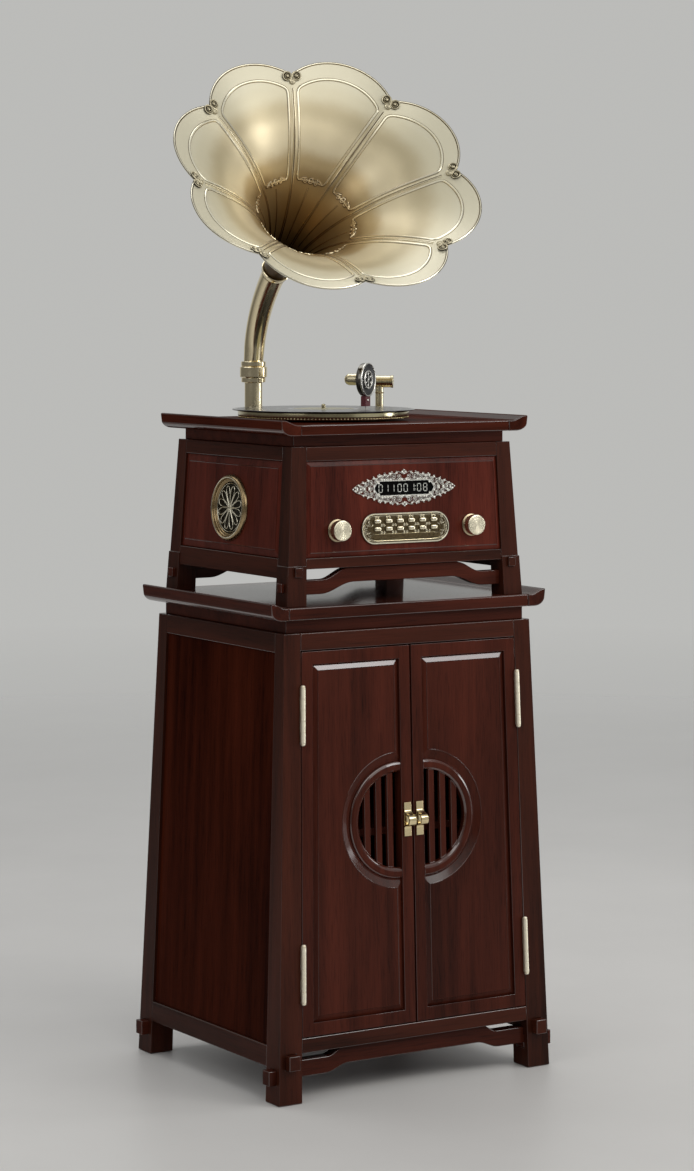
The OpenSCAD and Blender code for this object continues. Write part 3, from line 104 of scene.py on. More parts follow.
@dataclass(frozen=True)
class Plane:
    """Flat face of the object: a point in millimetres and its three directions."""

    origin: tuple[float, float, float]
    right: tuple[float, float, float]
    up: tuple[float, float, float]
    out: tuple[float, float, float]

    def at(self, x: Array | float, w: Array | float, out: Array | float = 0.0) -> Array:
        """Places points on the face: origin + x right + w up + height out.

        Args:
            x: Distance to the right, in millimetres.
            w: Distance up the face.
            out: Height over the face.

        Returns:
            Points in metres.
        """
        x, w, out = np.broadcast_arrays(x, w, out)
        spread = x[..., None] * np.array(self.right) + w[..., None] * np.array(self.up)
        return (np.array(self.origin) + spread + out[..., None] * np.array(self.out)) * MM

    def shifted(self, x: float, w: float, out: float = 0.0) -> Plane:
        """Returns the same face with its origin moved."""
        return Plane(tuple(self.at(x, w, out) / MM), self.right, self.up, self.out)


@dataclass(frozen=True)
class Taper:
    """Tapered body between two heights, in millimetres."""

    floor: float
    top: float
    foot_w: float
    top_w: float
    foot_d: float
    top_d: float

    def front(self) -> Plane:
        """Returns the leaning front face, whose origin is at the feet."""
        a = math.atan((self.foot_d - self.top_d) / 2 / (self.top - self.floor))
        return Plane((0, -self.foot_d / 2, self.floor), (1, 0, 0), (0, math.sin(a), math.cos(a)),
                     (0, -math.cos(a), math.sin(a)))

    def side(self, sign: int) -> Plane:
        """Returns the left (-1) or right (1) face, whose origin is at the feet."""
        a = math.atan((self.foot_w - self.top_w) / 2 / (self.top - self.floor))
        return Plane((sign * self.foot_w / 2, 0, self.floor), (0, sign, 0),
                     (-sign * math.sin(a), 0, math.cos(a)), (sign * math.cos(a), 0, math.sin(a)))


CABINET = Taper(0, 734, 520, 472, 454, 400)
UNIT = Taper(775.02, 1025.52, 450, 420, 384, 360)
FRONT = UNIT.front()
DECK_Z = 1060.52         # top of the unit, in millimetres


class Skin:
    """Grids of points gathered into one mesh piece."""

    def __init__(self) -> None:
        """Starts with no points."""
        self.points: list[Array] = []
        self.quads: list[Array] = []
        self.marks: list[Array] = []
        self.count = 0

    def grid(self, p: Array, wrap: tuple[bool, bool] = (False, False), mark: Array | float = 0.0) -> Skin:
        """Adds a grid of points, each joined to its neighbours.

        Args:
            p: Points in metres, rows by columns by 3.
            wrap: Whether the rows and the columns close on themselves.
            mark: Value that the finish reads, one for each point or one for all.

        Returns:
            The skin itself.
        """
        m, n = p.shape[:2]
        i = np.arange(m if wrap[0] else m - 1)[:, None]
        j = np.arange(n if wrap[1] else n - 1)[None, :]
        corners = [(i, j), (i + 1, j), (i + 1, j + 1), (i, j + 1)]
        self.quads.append(np.stack([self.count + (a % m) * n + b % n + 0 * (i + j) for a, b in corners], -1)
                          .reshape(-1, 4))
        self.points.append(p.reshape(-1, 3))
        self.marks.append(np.broadcast_to(mark, (m, n)).reshape(-1))
        self.count += m * n
        return self

    def turned(self, plane: Plane, shape: list | Array, ease: float, steps: int = 3, n: int = 64,
               closed: bool = False) -> Skin:
        """Adds a turned solid: a profile with rounded corners, spun about a face's outward direction.

        Args:
            plane: Face whose origin is the centre.
            shape: Points of (radius, height) in millimetres.
            ease: Cut of the corners.
            steps: Points in each rounded corner.
            n: Points round the centre.
            closed: Whether the profile closes on itself.

        Returns:
            The skin itself.
        """
        profile = eased(np.array(shape), ease, steps, closed)
        return self.grid(spun(profile, plane, n), (closed, True))

    def strand(self, plane: Plane, path: Array, out: float, half_w: float, half_h: float, sides: int = 6,
               closed: bool = False) -> Skin:
        """Adds an oval wire that lies over a face.

        Args:
            plane: The face.
            path: Flat points of (x, w) in millimetres.
            out: Height of the wire's middle over the face.
            half_w: Half of its width.
            half_h: Half of its height.
            sides: Points in its section.
            closed: Whether the path closes on itself.

        Returns:
            The skin itself.
        """
        middle = plane.at(path[:, 0], path[:, 1], out)
        grid = wire(middle, np.array(plane.out), half_w * MM, half_h * MM, sides, closed)
        return self.grid(grid, (closed, True))

    def make(self, name: str, turn: bool = True, crease: float = 35.0) -> Object:
        """Puts the grids into a mesh and closes its doubles.

        Args:
            name: Name of the piece.
            turn: Whether the faces are turned outwards.
            crease: Angle in degrees above which an edge stays sharp.

        Returns:
            The new object, at the origin.
        """
        p, q = np.concatenate(self.points), np.concatenate(self.quads)
        mesh = bpy.data.meshes.new(name)
        mesh.vertices.add(len(p))
        mesh.vertices.foreach_set("co", p.astype(np.float32).ravel())
        mesh.loops.add(q.size)
        mesh.loops.foreach_set("vertex_index", q.astype(np.int32).ravel())
        mesh.polygons.add(len(q))
        mesh.polygons.foreach_set("loop_start", np.arange(0, q.size, 4, dtype=np.int32))
        mesh.update(calc_edges=True)
        mesh.attributes.new("mark", "FLOAT", "POINT").data.foreach_set(
            "value", np.concatenate(self.marks).astype(np.float32))
        bm = bmesh.new()
        bm.from_mesh(mesh)
        bmesh.ops.remove_doubles(bm, verts=bm.verts, dist=WELD)
        if turn:
            bmesh.ops.recalc_face_normals(bm, faces=bm.faces)
        bm.to_mesh(mesh)
        bm.free()
        mesh.shade_smooth()
        mesh.set_sharp_from_angle(angle=math.radians(crease))
        return placed(mesh)


def pose(turned: tuple[Array, Array, Array], at: tuple[float, float, float]) -> Matrix:
    """Returns the placement of a thing from its right, up and backward directions and its position."""
    columns = np.stack([*turned, np.array(at)], 1)
    return Matrix(np.vstack([columns, [0, 0, 0, 1]]).tolist())


def placed(data: bpy.types.ID) -> Object:
    """Links a mesh, camera or light into the scene as an object at the origin and returns it."""
    obj = bpy.data.objects.new(data.name, data)
    bpy.context.scene.collection.objects.link(obj)
    return obj


def carried(path: Array, up: Array, section: Array, closed: bool = False) -> Array:
    """Carries a section along a path.

    At each point the ring is centre + x side + y lift, where side is tangent x up, lift is side x tangent,
    and (x, y) are the section's points.

    Args:
        path: Points in metres.
        up: Direction of the section's height, one for all points or one for each.
        section: Points of the section in metres.
        closed: Whether the path closes on itself.

    Returns:
        Grid of points; an open path ends in a point at each end.
    """
    ahead = np.roll(path, -1, 0) - np.roll(path, 1, 0) if closed else np.gradient(path, axis=0)
    side = unit(np.cross(unit(ahead), np.broadcast_to(up, path.shape)))
    lift = np.cross(side, unit(ahead))
    ring = path[:, None] + section[:, :1] * side[:, None] + section[:, 1:] * lift[:, None]
    if closed:
        return ring
    ends = [np.repeat(path[k:k + 1, None], len(section), 1) for k in (0, len(path) - 1)]
    return np.concatenate([ends[0], ring, ends[1]])


def wire(path: Array, up: Array, half_w: float, half_h: float, sides: int = 6, closed: bool = False) -> Array:
    """Carries an oval along a path: its section is (half_w cos a, half_h sin a), in metres."""
    a = (np.arange(sides) + 0.5) * TAU / sides
    return carried(path, up, np.stack([half_w * np.cos(a), half_h * np.sin(a)], 1), closed)


def spun(profile: Array, plane: Plane, n: int = 64) -> Array:
    """Turns a profile about a face's outward direction.

    The point at angle a is radius cos a right + radius sin a up + height out.

    Args:
        profile: Points of (radius, height) in millimetres.
        plane: Face whose origin is the centre.
        n: Points round the centre.

    Returns:
        Grid of points in metres.
    """
    a = np.arange(n) * TAU / n
    r, h = profile[:, 0:1], profile[:, 1:2]
    return plane.at(r * np.cos(a), r * np.sin(a), h + 0 * a)


def eased(profile: Array, cut: float, steps: int = 4, closed: bool = False) -> Array:
    """Rounds the corners of a profile.

    Each corner becomes the curve (1-t)^2 before + 2t(1-t) corner + t^2 after, where before and after lie on
    its two sides, cut away from it or at 45 % of a shorter side.

    Args:
        profile: Points in order.
        cut: Distance of the curve's ends from the corner.
        steps: Points in each curve.
        closed: Whether the last point joins the first.

    Returns:
        The rounder profile.
    """
    before, after = np.roll(profile, 1, 0) - profile, np.roll(profile, -1, 0) - profile
    reach = [v * np.minimum(0.45, cut / np.maximum(np.linalg.norm(v, axis=1, keepdims=True), 1e-9))
             for v in (before, after)]
    t = np.linspace(0, 1, steps)[None, :, None]
    curve = profile[:, None] + (1 - t) ** 2 * reach[0][:, None] + t * t * reach[1][:, None]
    if closed:
        return curve.reshape(-1, profile.shape[1])
    return np.concatenate([profile[:1], curve[1:-1].reshape(-1, profile.shape[1]), profile[-1:]])


def spiral(x: float, w: float, outer: float, start: float, turns: float = 1.6, inner: float = 0.18,
           n: int = 22) -> Array:
    """Draws a flat spiral whose radius falls evenly with its angle.

    Args:
        x: Centre, to the right.
        w: Centre, upwards.
        outer: Radius at its start.
        start: Angle of its start in degrees.
        turns: Turns, below zero for the other way round.
        inner: Radius at its end as a share of the outer one.
        n: Points.

    Returns:
        Flat points of (x, w).
    """
    f = np.linspace(0, 1, n)
    a = math.radians(start) + TAU * turns * f
    r = outer * (1 + (inner - 1) * f)
    return np.stack([x + r * np.cos(a), w + r * np.sin(a)], 1)


def mirrored(paths: list[Array], flips: list[tuple[int, int]]) -> list[Array]:
    """Returns flat paths repeated with the signs of x and w that each flip gives."""
    return [p * np.array(f) for f in flips for p in paths]


def smoothed(path: Array, count: int, window: int) -> Array:
    """Spaces a closed flat path evenly and rounds it with a moving average.

    Args:
        path: Corner points.
        count: Points in the result.
        window: Points in the average on each side.

    Returns:
        The even, rounder path.
    """
    loop = np.concatenate([path, path[:1]])
    run = np.concatenate([[0], np.cumsum(np.linalg.norm(np.diff(loop, axis=0), axis=1))])
    at = np.linspace(0, run[-1], count, endpoint=False)
    even = np.stack([np.interp(at, run, loop[:, k]) for k in range(2)], 1)
    return np.mean([np.roll(even, k, 0) for k in range(-window, window + 1)], axis=0)


def islands(count: int, edges: Array) -> Array:
    """Labels the separate solids of a mesh by spreading each lowest vertex number along the edges.

    Args:
        count: Number of vertices.
        edges: Pairs of vertex numbers.

    Returns:
        One label for each vertex.
    """
    label = np.arange(count)
    while True:
        low = label[edges].min(1)
        new = label.copy()
        np.minimum.at(new, edges.ravel(), np.repeat(low, 2))
        new = new[new]
        if (new == label).all():
            return label
        label = new


def soft_copy(node: str, name: str, arris: float, grain: Grain = Grain.LONG, segments: int = 2) -> Object:
    """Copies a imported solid, closes its doubles and eases its edges.

    Args:
        node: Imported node.
        name: Name of the copy.
        arris: Width of the eased edges in millimetres.
        grain: Way in which the grain attribute runs.
        segments: Steps across an eased edge.

    Returns:
        The new object, with a grain attribute that holds each point as (along, across, through).
    """
    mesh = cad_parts[node].data.copy()
    mesh.name = name
    mesh.materials.clear()
    bm = bmesh.new()
    bm.from_mesh(mesh)
    bmesh.ops.remove_doubles(bm, verts=bm.verts, dist=WELD)
    bmesh.ops.dissolve_degenerate(bm, edges=bm.edges, dist=SLIVER)
    bmesh.ops.dissolve_limit(bm, angle_limit=math.radians(COPLANAR), verts=bm.verts, edges=bm.edges)
    bm.to_mesh(mesh)
    bm.free()
    if "custom_normal" in mesh.attributes:
        mesh.attributes.remove(mesh.attributes["custom_normal"])
    co = np.empty(len(mesh.vertices) * 3, np.float32)
    mesh.vertices.foreach_get("co", co)
    co = co.reshape(-1, 3)
    edges = np.empty(len(mesh.edges) * 2, np.int32)
    mesh.edges.foreach_get("vertices", edges)
    label = islands(len(co), edges.reshape(-1, 2))
    along = np.zeros_like(co)
    for k, part in enumerate(np.unique(label)):
        own = label == part
        order = [2, 0, 1] if grain is Grain.UPRIGHT else np.argsort(-np.ptp(co[own], axis=0))
        along[own] = co[own][:, order] + np.array([0.37, 0.71, 0.53]) * (k + 1) + 0.11 * (len(node) % 7)
    mesh.attributes.new("grain", "FLOAT_VECTOR", "POINT").data.foreach_set("vector", along.ravel())
    mesh.shade_smooth()
    obj = placed(mesh)
    if arris:
        bevel = obj.modifiers.new("eased edges", "BEVEL")
        bevel.width = arris * MM
        bevel.segments = segments
        bevel.limit_method = "ANGLE"
        bevel.angle_limit = math.radians(ARRIS_FROM)
        bevel.use_clamp_overlap = False
        flat = obj.modifiers.new("flat faces", "WEIGHTED_NORMAL")
        flat.weight = 100
        flat.keep_sharp = True
    mesh.set_sharp_from_angle(angle=math.radians(SHARP_FROM if arris else ARRIS_FROM))
    return obj


def field_outline(obj: Object, plane: Plane, depth: float) -> Array:
    """Finds the edge of a panel's flat field: the longest loop of edges that only one face of the field has.

    Args:
        obj: The panel.
        plane: Face of the body that the panel is set in.
        depth: How far the field lies behind that face, in millimetres.

    Returns:
        Points of the loop in metres.
    """
    bm = bmesh.new()
    bm.from_mesh(obj.data)
    bm.normal_update()
    out, origin = Vector(plane.out), Vector(plane.origin) * MM
    flat = {f for f in bm.faces if f.normal.dot(out) > 0.9995
            and abs((f.calc_center_median() - origin).dot(out) / MM + depth) < 0.1}
    after = {c.vert: c.link_loop_next.vert for f in bm.faces if f in flat for c in f.loops
             if sum(g in flat for g in c.edge.link_faces) == 1}
    loops = []
    while after:
        loop = [next(iter(after))]
        while loop[-1] in after:
            loop.append(after.pop(loop[-1]))
        loops.append(np.array([v.co[:] for v in loop[:-1]]))
    bm.free()
    return max(loops, key=lambda p: np.linalg.norm(p - np.roll(p, 1, 0), axis=1).sum())


# Finishes


class Wiring:
    """Short way to place and join nodes in one tree."""

    def __init__(self, tree: NodeTree) -> None:
        """Keeps the tree."""
        self.tree = tree

    def feed(self, node: Node, sockets: dict) -> Node:
        """Gives a node's inputs their values, or joins them to outputs.

        Args:
            node: The node.
            sockets: Value or output for each input, by name or number.

        Returns:
            The node.
        """
        for key, value in sockets.items():
            if isinstance(value, NodeSocket):
                self.tree.links.new(value, node.inputs[key])
            else:
                node.inputs[key].default_value = value
        return node

    def add(self, kind: str, sockets: dict | None = None, **settings: object) -> Node:
        """Places a node.

        Args:
            kind: Node type without its ShaderNode prefix.
            sockets: Value or output for each input, by name or number.
            **settings: The node's own options.

        Returns:
            The node.
        """
        node = self.tree.nodes.new(kind if kind.startswith("Node") else "ShaderNode" + kind)
        for key, value in settings.items():
            setattr(node, key, value)
        return self.feed(node, sockets or {})

    def group(self, tree: NodeTree, sockets: dict) -> Node:
        """Places a shared group with its own values."""
        return self.add("Group", sockets, node_tree=tree)

    def place(self) -> NodeSocket:
        """Returns the point's place in the object's own space."""
        return self.add("TexCoord").outputs["Object"]

    def mark(self) -> NodeSocket:
        """Returns the mark that a skin's points carry."""
        return self.add("Attribute", attribute_name="mark").outputs["Fac"]

    def clouds(self, place: NodeSocket, scale: float) -> NodeSocket:
        """Returns the mask of the smudges at a scale."""
        return self.group(smudges(), {"Vector": place, "Scale": scale}).outputs[0]

    def mix(self, share: object, a: object, b: object) -> NodeSocket:
        """Returns the blend of two colours."""
        tint = [x if isinstance(x, NodeSocket) else (*x, 1.0) for x in (a, b)]
        return self.add("Mix", {0: share, 6: tint[0], 7: tint[1]}, data_type="RGBA").outputs[2]

    def math(self, way: str, a: object, b: object = 0.0) -> NodeSocket:
        """Returns the result of one sum, product or other step."""
        return self.add("Math", {0: a, 1: b}, operation=way).outputs[0]

    def vector(self, way: str, a: object, b: object = (0.0, 0.0, 0.0), out: str = "Vector") -> NodeSocket:
        """Returns the result of one step on vectors."""
        return self.add("VectorMath", {0: a, 1: b}, operation=way).outputs[out]

    def span(self, value: object, low: float, high: float, to_low: float = 0.0,
             to_high: float = 1.0) -> NodeSocket:
        """Returns a value carried from one range to another and kept inside it."""
        return self.add("MapRange", {"Value": value, "From Min": low, "From Max": high, "To Min": to_low,
                                     "To Max": to_high}).outputs[0]

    def bump(self, height: object, strength: float, distance: float) -> NodeSocket:
        """Returns the normal that a height gives."""
        return self.add("Bump", {"Height": height, "Strength": strength, "Distance": distance}).outputs[0]


def blank(data: Material | bpy.types.World) -> Wiring:
    """Clears the nodes of a material or world and returns their wiring."""
    data.use_nodes = True
    data.node_tree.nodes.clear()
    return Wiring(data.node_tree)


def new_group(name: str, inputs: dict[str, str], outputs: dict[str, str]
              ) -> tuple[Wiring, bpy.types.NodeOutputs, Node]:
    """Starts a shared group with named sockets.

    Args:
        name: Name of the group.
        inputs: Socket type of each input, by name.
        outputs: Socket type of each output, by name.

    Returns:
        Its wiring, the sockets of its input node, and its output node.
    """
    tree = bpy.data.node_groups.new(name, "ShaderNodeTree")
    for way, sockets in (("INPUT", inputs), ("OUTPUT", outputs)):
        for key, kind in sockets.items():
            tree.interface.new_socket(key, in_out=way, socket_type="NodeSocket" + kind)
    w = Wiring(tree)
    return w, w.add("NodeGroupInput").outputs, w.add("NodeGroupOutput")


@functools.cache
def smudges() -> NodeTree:
    """Builds the group of cloudy marks that handling and polish leave: noise with its contrast raised."""
    w, start, end = new_group("smudges", {"Vector": "Vector", "Scale": "Float"}, {"Mask": "Float"})
    noise = w.add("TexNoise", {"Vector": start[0], "Scale": start[1], "Detail": 5.0, "Roughness": 0.6})
    w.feed(end, {0: w.span(noise.outputs[0], 0.35, 0.68)})
    return w.tree


@functools.cache
def brushing() -> NodeTree:
    """Builds the group of fine lines: noise squeezed along the vector's first axis."""
    w, start, end = new_group("brushing", {"Vector": "Vector", "Scale": "Float"}, {"Height": "Float"})
    thin = w.vector("MULTIPLY", start[0], (0.03, 1.0, 1.0))
    w.feed(end, {0: w.add("TexNoise", {"Vector": thin, "Scale": start[1], "Detail": 2.0}).outputs[0]})
    return w.tree


@functools.cache
def arrises() -> NodeTree:
    """Builds the group that finds rounded edges and the slopes that face upwards.

    The first are places whose normal is far from all three axes, and the second have a normal that rises
    without being a level top's.
    """
    w, start, end = new_group("arrises", {"Normal": "Vector", "Slope": "Float"}, {"Mask": "Float"})
    x, y, z = w.add("SeparateXYZ", {0: w.vector("ABSOLUTE", start[0])}).outputs
    rise = w.add("SeparateXYZ", {0: start[0]}).outputs[2]
    edge = w.span(w.math("MAXIMUM", w.math("MAXIMUM", x, y), z), 0.93, 0.86)
    slope = w.math("MULTIPLY", w.span(rise, 0.13, 0.22), w.span(rise, 0.97, 0.93))
    w.feed(end, {0: w.math("MAXIMUM", edge, w.math("MULTIPLY", slope, start[1]))})
    return w.tree


@functools.cache
def timber() -> NodeTree:
    """Builds the group of wood: broad bands, fine streaks and short pores, along the vector's first axis."""
    w, start, end = new_group("timber", {"Vector": "Vector", "Dark": "Color", "Light": "Color"},
                              {"Colour": "Color", "Pores": "Float"})
    broad, fine, short = (
        w.add("TexNoise", {"Vector": w.vector("MULTIPLY", start[0], stretch), "Scale": scale,
                           "Detail": detail, "Distortion": 0.3}).outputs[0]
        for stretch, scale, detail in (((0.55, 3.2, 3.2), 3.0, 3.0), ((0.35, 9.0, 9.0), 7.0, 5.0),
                                       ((2.2, 60.0, 60.0), 9.0, 2.0)))
    bands = w.math("ADD", w.math("MULTIPLY", w.span(broad, 0.3, 0.7), 0.6),
                   w.math("MULTIPLY", w.span(fine, 0.3, 0.7), 0.4))
    pores = w.span(short, 0.52, 0.68)
    shade = w.math("SUBTRACT", bands, w.math("MULTIPLY", pores, 0.25))
    w.feed(end, {0: w.mix(shade, start[1], start[2]), 1: pores})
    return w.tree


def fresh(name: str, sockets: dict) -> tuple[Material, Wiring, Node]:
    """Starts a material with one Principled shader.

    Args:
        name: Name of the material.
        sockets: Constant values on the shader's own sockets.

    Returns:
        The material, its wiring and the shader.
    """
    material = bpy.data.materials.new(name)
    w = blank(material)
    shader = w.add("BsdfPrincipled", sockets)
    w.add("OutputMaterial", {"Surface": shader.outputs[0]})
    return material, w, shader


@dataclass(frozen=True)
class Lacquer:
    """Mahogany under clear lacquer."""

    name: str = "mahogany_lacquer"
    dark: Colour = (0.018, 0.0042, 0.0022)
    light: Colour = (0.080, 0.0170, 0.0090)
    coat: tuple[float, float] = (0.045, 0.8)
    coat_rough: float = 0.10
    gloss: float = 0.03
    slope: float = 0.6

    @functools.cache
    def build(self) -> Material:
        """Builds wood along the grain attribute, under a coat that is stronger on edges and at a slant."""
        material, w, shader = fresh(self.name, {"Coat Roughness": self.coat_rough, "Coat IOR": 2.0,
                                                "Specular IOR Level": self.gloss})
        facing = w.add("LayerWeight", {"Blend": 0.3}).outputs["Facing"]
        normal = w.add("TexCoord").outputs["Normal"]
        edge = w.group(arrises(), {"Normal": normal, "Slope": self.slope}).outputs[0]
        grain = w.add("Attribute", attribute_name="grain").outputs["Vector"]
        wood = w.group(timber(), {"Vector": grain, "Dark": (*self.dark, 1), "Light": (*self.light, 1)})
        haze = w.clouds(grain, 9.0)
        height = w.math("ADD", w.math("MULTIPLY", wood.outputs[1], -0.35), w.math("MULTIPLY", haze, 0.25))
        w.feed(shader, {"Base Color": wood.outputs[0], "Roughness": w.span(haze, 0, 1, 0.34, 0.46),
                        "Coat Weight": w.math("MAXIMUM", w.span(facing, 0.45, 0.8, *self.coat), edge),
                        "Normal": w.bump(height, 0.25, 0.0004)})
        return material


@dataclass(frozen=True)
class Metal:
    """Metal darkened towards a second colour where its mark is high: patina in low places, and painted shade
    on the parts that a piece marks as lying in shade. Mark 0 is a raised place and mark 1 a low one.
    """

    name: str
    colour: Colour
    tarnish_and_painted_shade: Colour
    rough: float = 0.25
    spots: float = 0.25
    size: float = 70.0

    @functools.cache
    def build(self) -> Material:
        """Builds smudged colour and polish."""
        material, w, shader = fresh(self.name, {"Metallic": 1.0})
        cloud = w.clouds(w.place(), self.size)
        # the mark blends towards the second colour: patina in hollows, painted shade where a piece marks
        # parts in shade
        share = w.math("MAXIMUM", w.mark(), w.math("MULTIPLY", cloud, self.spots))
        w.feed(shader, {"Base Color": w.mix(share, self.colour, self.tarnish_and_painted_shade),
                        "Roughness": w.span(cloud, 0, 1, self.rough, self.rough + 0.1)})
        return material


@dataclass(frozen=True)
class PetalGold:
    """Satin gold of the horn, in soft bands that get paler and less mirror-like towards the rim: painted
    shade that darkens it towards the throat, and painted reflection bands at mid-depth.
    """

    name: str = "petal_gold"
    # stops along the radius share: painted shade down to near black at the throat, painted reflection bands
    # from 0.44 to 0.88, pale gold at the rim
    bands: tuple[tuple[float, Colour], ...] = (
        (0.08, (0.05, 0.026, 0.007)), (0.18, (0.25, 0.150, 0.052)), (0.35, (0.31, 0.205, 0.085)),
        (0.44, (0.52, 0.39, 0.200)), (0.53, (0.72, 0.62, 0.41)), (0.63, (0.68, 0.585, 0.38)),
        (0.75, (0.50, 0.425, 0.265)), (0.88, (0.63, 0.575, 0.41)), (1.0, (0.66, 0.615, 0.46)))
    metal: tuple[float, float] = (0.75, 0.35)
    rough: float = 0.34

    @functools.cache
    def build(self) -> Material:
        """Builds the painted shade and reflection bands along the mark, which is the bell's radius as a share
        of the notches'.
        """
        material, w, shader = fresh(self.name, {})
        place = w.place()
        fine = w.group(brushing(), {"Vector": place, "Scale": 300.0}).outputs[0]
        stray = w.math("MULTIPLY", w.math("SUBTRACT", w.clouds(place, 9.0), 0.5), 0.05)
        wander = w.math("ADD", w.mark(), stray)
        ramp = w.add("ValToRGB", {0: wander})
        ramp.color_ramp.interpolation = "EASE"
        for k, (at, colour) in enumerate(self.bands):
            stop = ramp.color_ramp.elements[k] if k < 2 else ramp.color_ramp.elements.new(at)
            stop.position, stop.color = at, (*colour, 1)
        w.feed(shader, {"Base Color": ramp.outputs[0], "Metallic": w.span(wander, 0.2, 0.6, *self.metal),
                        "Roughness": w.span(fine, 0.2, 0.8, self.rough - 0.02, self.rough + 0.04),
                        "Normal": w.bump(fine, 0.02, 0.00002)})
        return material


@dataclass(frozen=True)
class Plastic:
    """Plastic, paper or paint with a fine grain and, where it has any, a light of its own."""

    name: str
    colour: Colour
    rough: float = 0.4
    coat: float = 0.0
    grain: float = 0.1
    glow: float = 0.0
    gloss: float = 0.5

    @functools.cache
    def build(self) -> Material:
        """Builds a slightly uneven colour with a moulded grain."""
        material, w, shader = fresh(self.name, {
            "Coat Weight": self.coat, "Coat Roughness": 0.04, "Specular IOR Level": self.gloss,
            "Emission Strength": self.glow})
        place = w.place()
        cloud = w.clouds(place, 45.0)
        fine = w.add("TexNoise", {"Vector": place, "Scale": 1800.0, "Detail": 1.0}).outputs[0]
        tint = w.mix(cloud, self.colour, tuple(min(1.0, c * 1.25 + 0.001) for c in self.colour))
        w.feed(shader, {"Base Color": tint, "Roughness": w.span(cloud, 0, 1, self.rough, self.rough + 0.08),
                        "Normal": w.bump(fine, self.grain, 0.00006)})
        if self.glow:
            w.feed(shader, {"Emission Color": tint})
        return material


@dataclass(frozen=True)
class Vinyl:
    """Black record: rings of groove round its centre."""

    centre: tuple[float, float, float]
    name: str = "record_vinyl"
    pitch: float = 0.0011

    @functools.cache
    def build(self) -> Material:
        """Builds grooves as a ring wave round the centre; mark 1 is the smooth ground between the bands."""
        material, w, shader = fresh(self.name, {"Specular IOR Level": 0.6, "Coat Weight": 0.35,
                                                "Coat Roughness": 0.12})
        place, smooth = w.place(), w.mark()
        moved = w.add("Mapping", {"Vector": place, "Location": tuple(-c for c in self.centre)}).outputs[0]
        rings = w.add("TexWave", {"Vector": moved, "Scale": 1 / self.pitch / 20, "Distortion": 0.15},
                      wave_type="RINGS", rings_direction="Z").outputs["Fac"]
        depth = w.math("MULTIPLY", rings, w.math("SUBTRACT", 1.0, smooth))
        dust = w.mix(w.clouds(place, 30.0), (0.006, 0.006, 0.007), (0.011, 0.011, 0.012))
        w.feed(shader, {"Base Color": dust, "Roughness": w.span(smooth, 0, 1, 0.3, 0.14),
                        "Normal": w.bump(depth, 0.3, 0.00006)})
        return material


WOOD = Lacquer()
DECK = Lacquer("deck_lacquer", coat=(0.03, 0.07), gloss=0.0)
FIELD = Lacquer("field_lacquer", (0.026, 0.0048, 0.0028), (0.120, 0.0220, 0.0125), slope=0.12)
# darker copy of the wood for the cabinet's panels: painted shade on the sides that catch less light
PAINTED_SHADE_LACQUER = Lacquer("painted_shade_lacquer", (0.010, 0.0018, 0.0008), (0.056, 0.0105, 0.0045), (0.02, 0.6), gloss=0.0,
                 slope=0.3)
FRAMING = Lacquer("framing_lacquer", (0.013, 0.0036, 0.0017), (0.060, 0.0140, 0.0068), gloss=0.05)
GOLD = Metal("pale_brass", (0.82, 0.73, 0.50), (0.36, 0.27, 0.14), 0.18, 0.2)
POLISHED = Metal("polished_brass", (0.80, 0.67, 0.41), (0.45, 0.33, 0.15), 0.13, 0.25)
ANTIQUE = Metal("antique_brass", (0.90, 0.78, 0.52), (0.34, 0.25, 0.12), 0.11, 0.04)
ANTIQUE_GOLD = Metal("antique_gold", (0.92, 0.81, 0.56), (0.38, 0.29, 0.15), 0.11, 0.04)
UMBER = Metal("umber_brass", (0.42, 0.31, 0.17), (0.12, 0.085, 0.045), 0.22, 0.3)
OLIVE = Metal("olive_brass", (0.60, 0.54, 0.35), (0.20, 0.17, 0.09), 0.14, 0.3)
PLATE_GOLD = Metal("relief_ground", (0.125, 0.092, 0.048), (0.04, 0.029, 0.014), 0.36, 0.9, 420.0)
HINGE = Metal("hinge_brass", (0.96, 0.90, 0.74), (0.62, 0.52, 0.33), 0.5, 0.15)
RELIEF = Metal("relief_lines", (0.92, 0.86, 0.68), (0.40, 0.33, 0.2), 0.2, 0.1)
CAP_GOLD = Metal("button_gold", (0.86, 0.79, 0.60), (0.50, 0.40, 0.22), 0.2, 0.2)
SPUN = Metal("spun_brass", (0.90, 0.83, 0.64), (0.30, 0.22, 0.12), 0.22, 0.15)
CAST = Metal("cast_bronze", (0.62, 0.56, 0.40), (0.03, 0.024, 0.015), 0.34, 0.3, 200.0)
SILVER = Metal("filigree_silver", (0.95, 0.94, 0.89), (0.30, 0.29, 0.26), 0.22, 0.1, 260.0)
CHROME = Metal("polished_nickel", (0.82, 0.80, 0.73), (0.40, 0.38, 0.33), 0.09, 0.15)
GUNMETAL = Metal("dark_nickel", (0.20, 0.19, 0.165), (0.04, 0.038, 0.032), 0.16, 0.3)
# flat dark wires beside the horn's beads: painted shadow
PAINTED_BEAD_SHADOW = Metal("painted_shadow_metal", (0.25, 0.18, 0.095), (0.10, 0.07, 0.035), 0.4, 0.3)
MESH = Metal("dark_mesh", (0.10, 0.085, 0.055), (0.03, 0.025, 0.017), 0.4, 0.4)
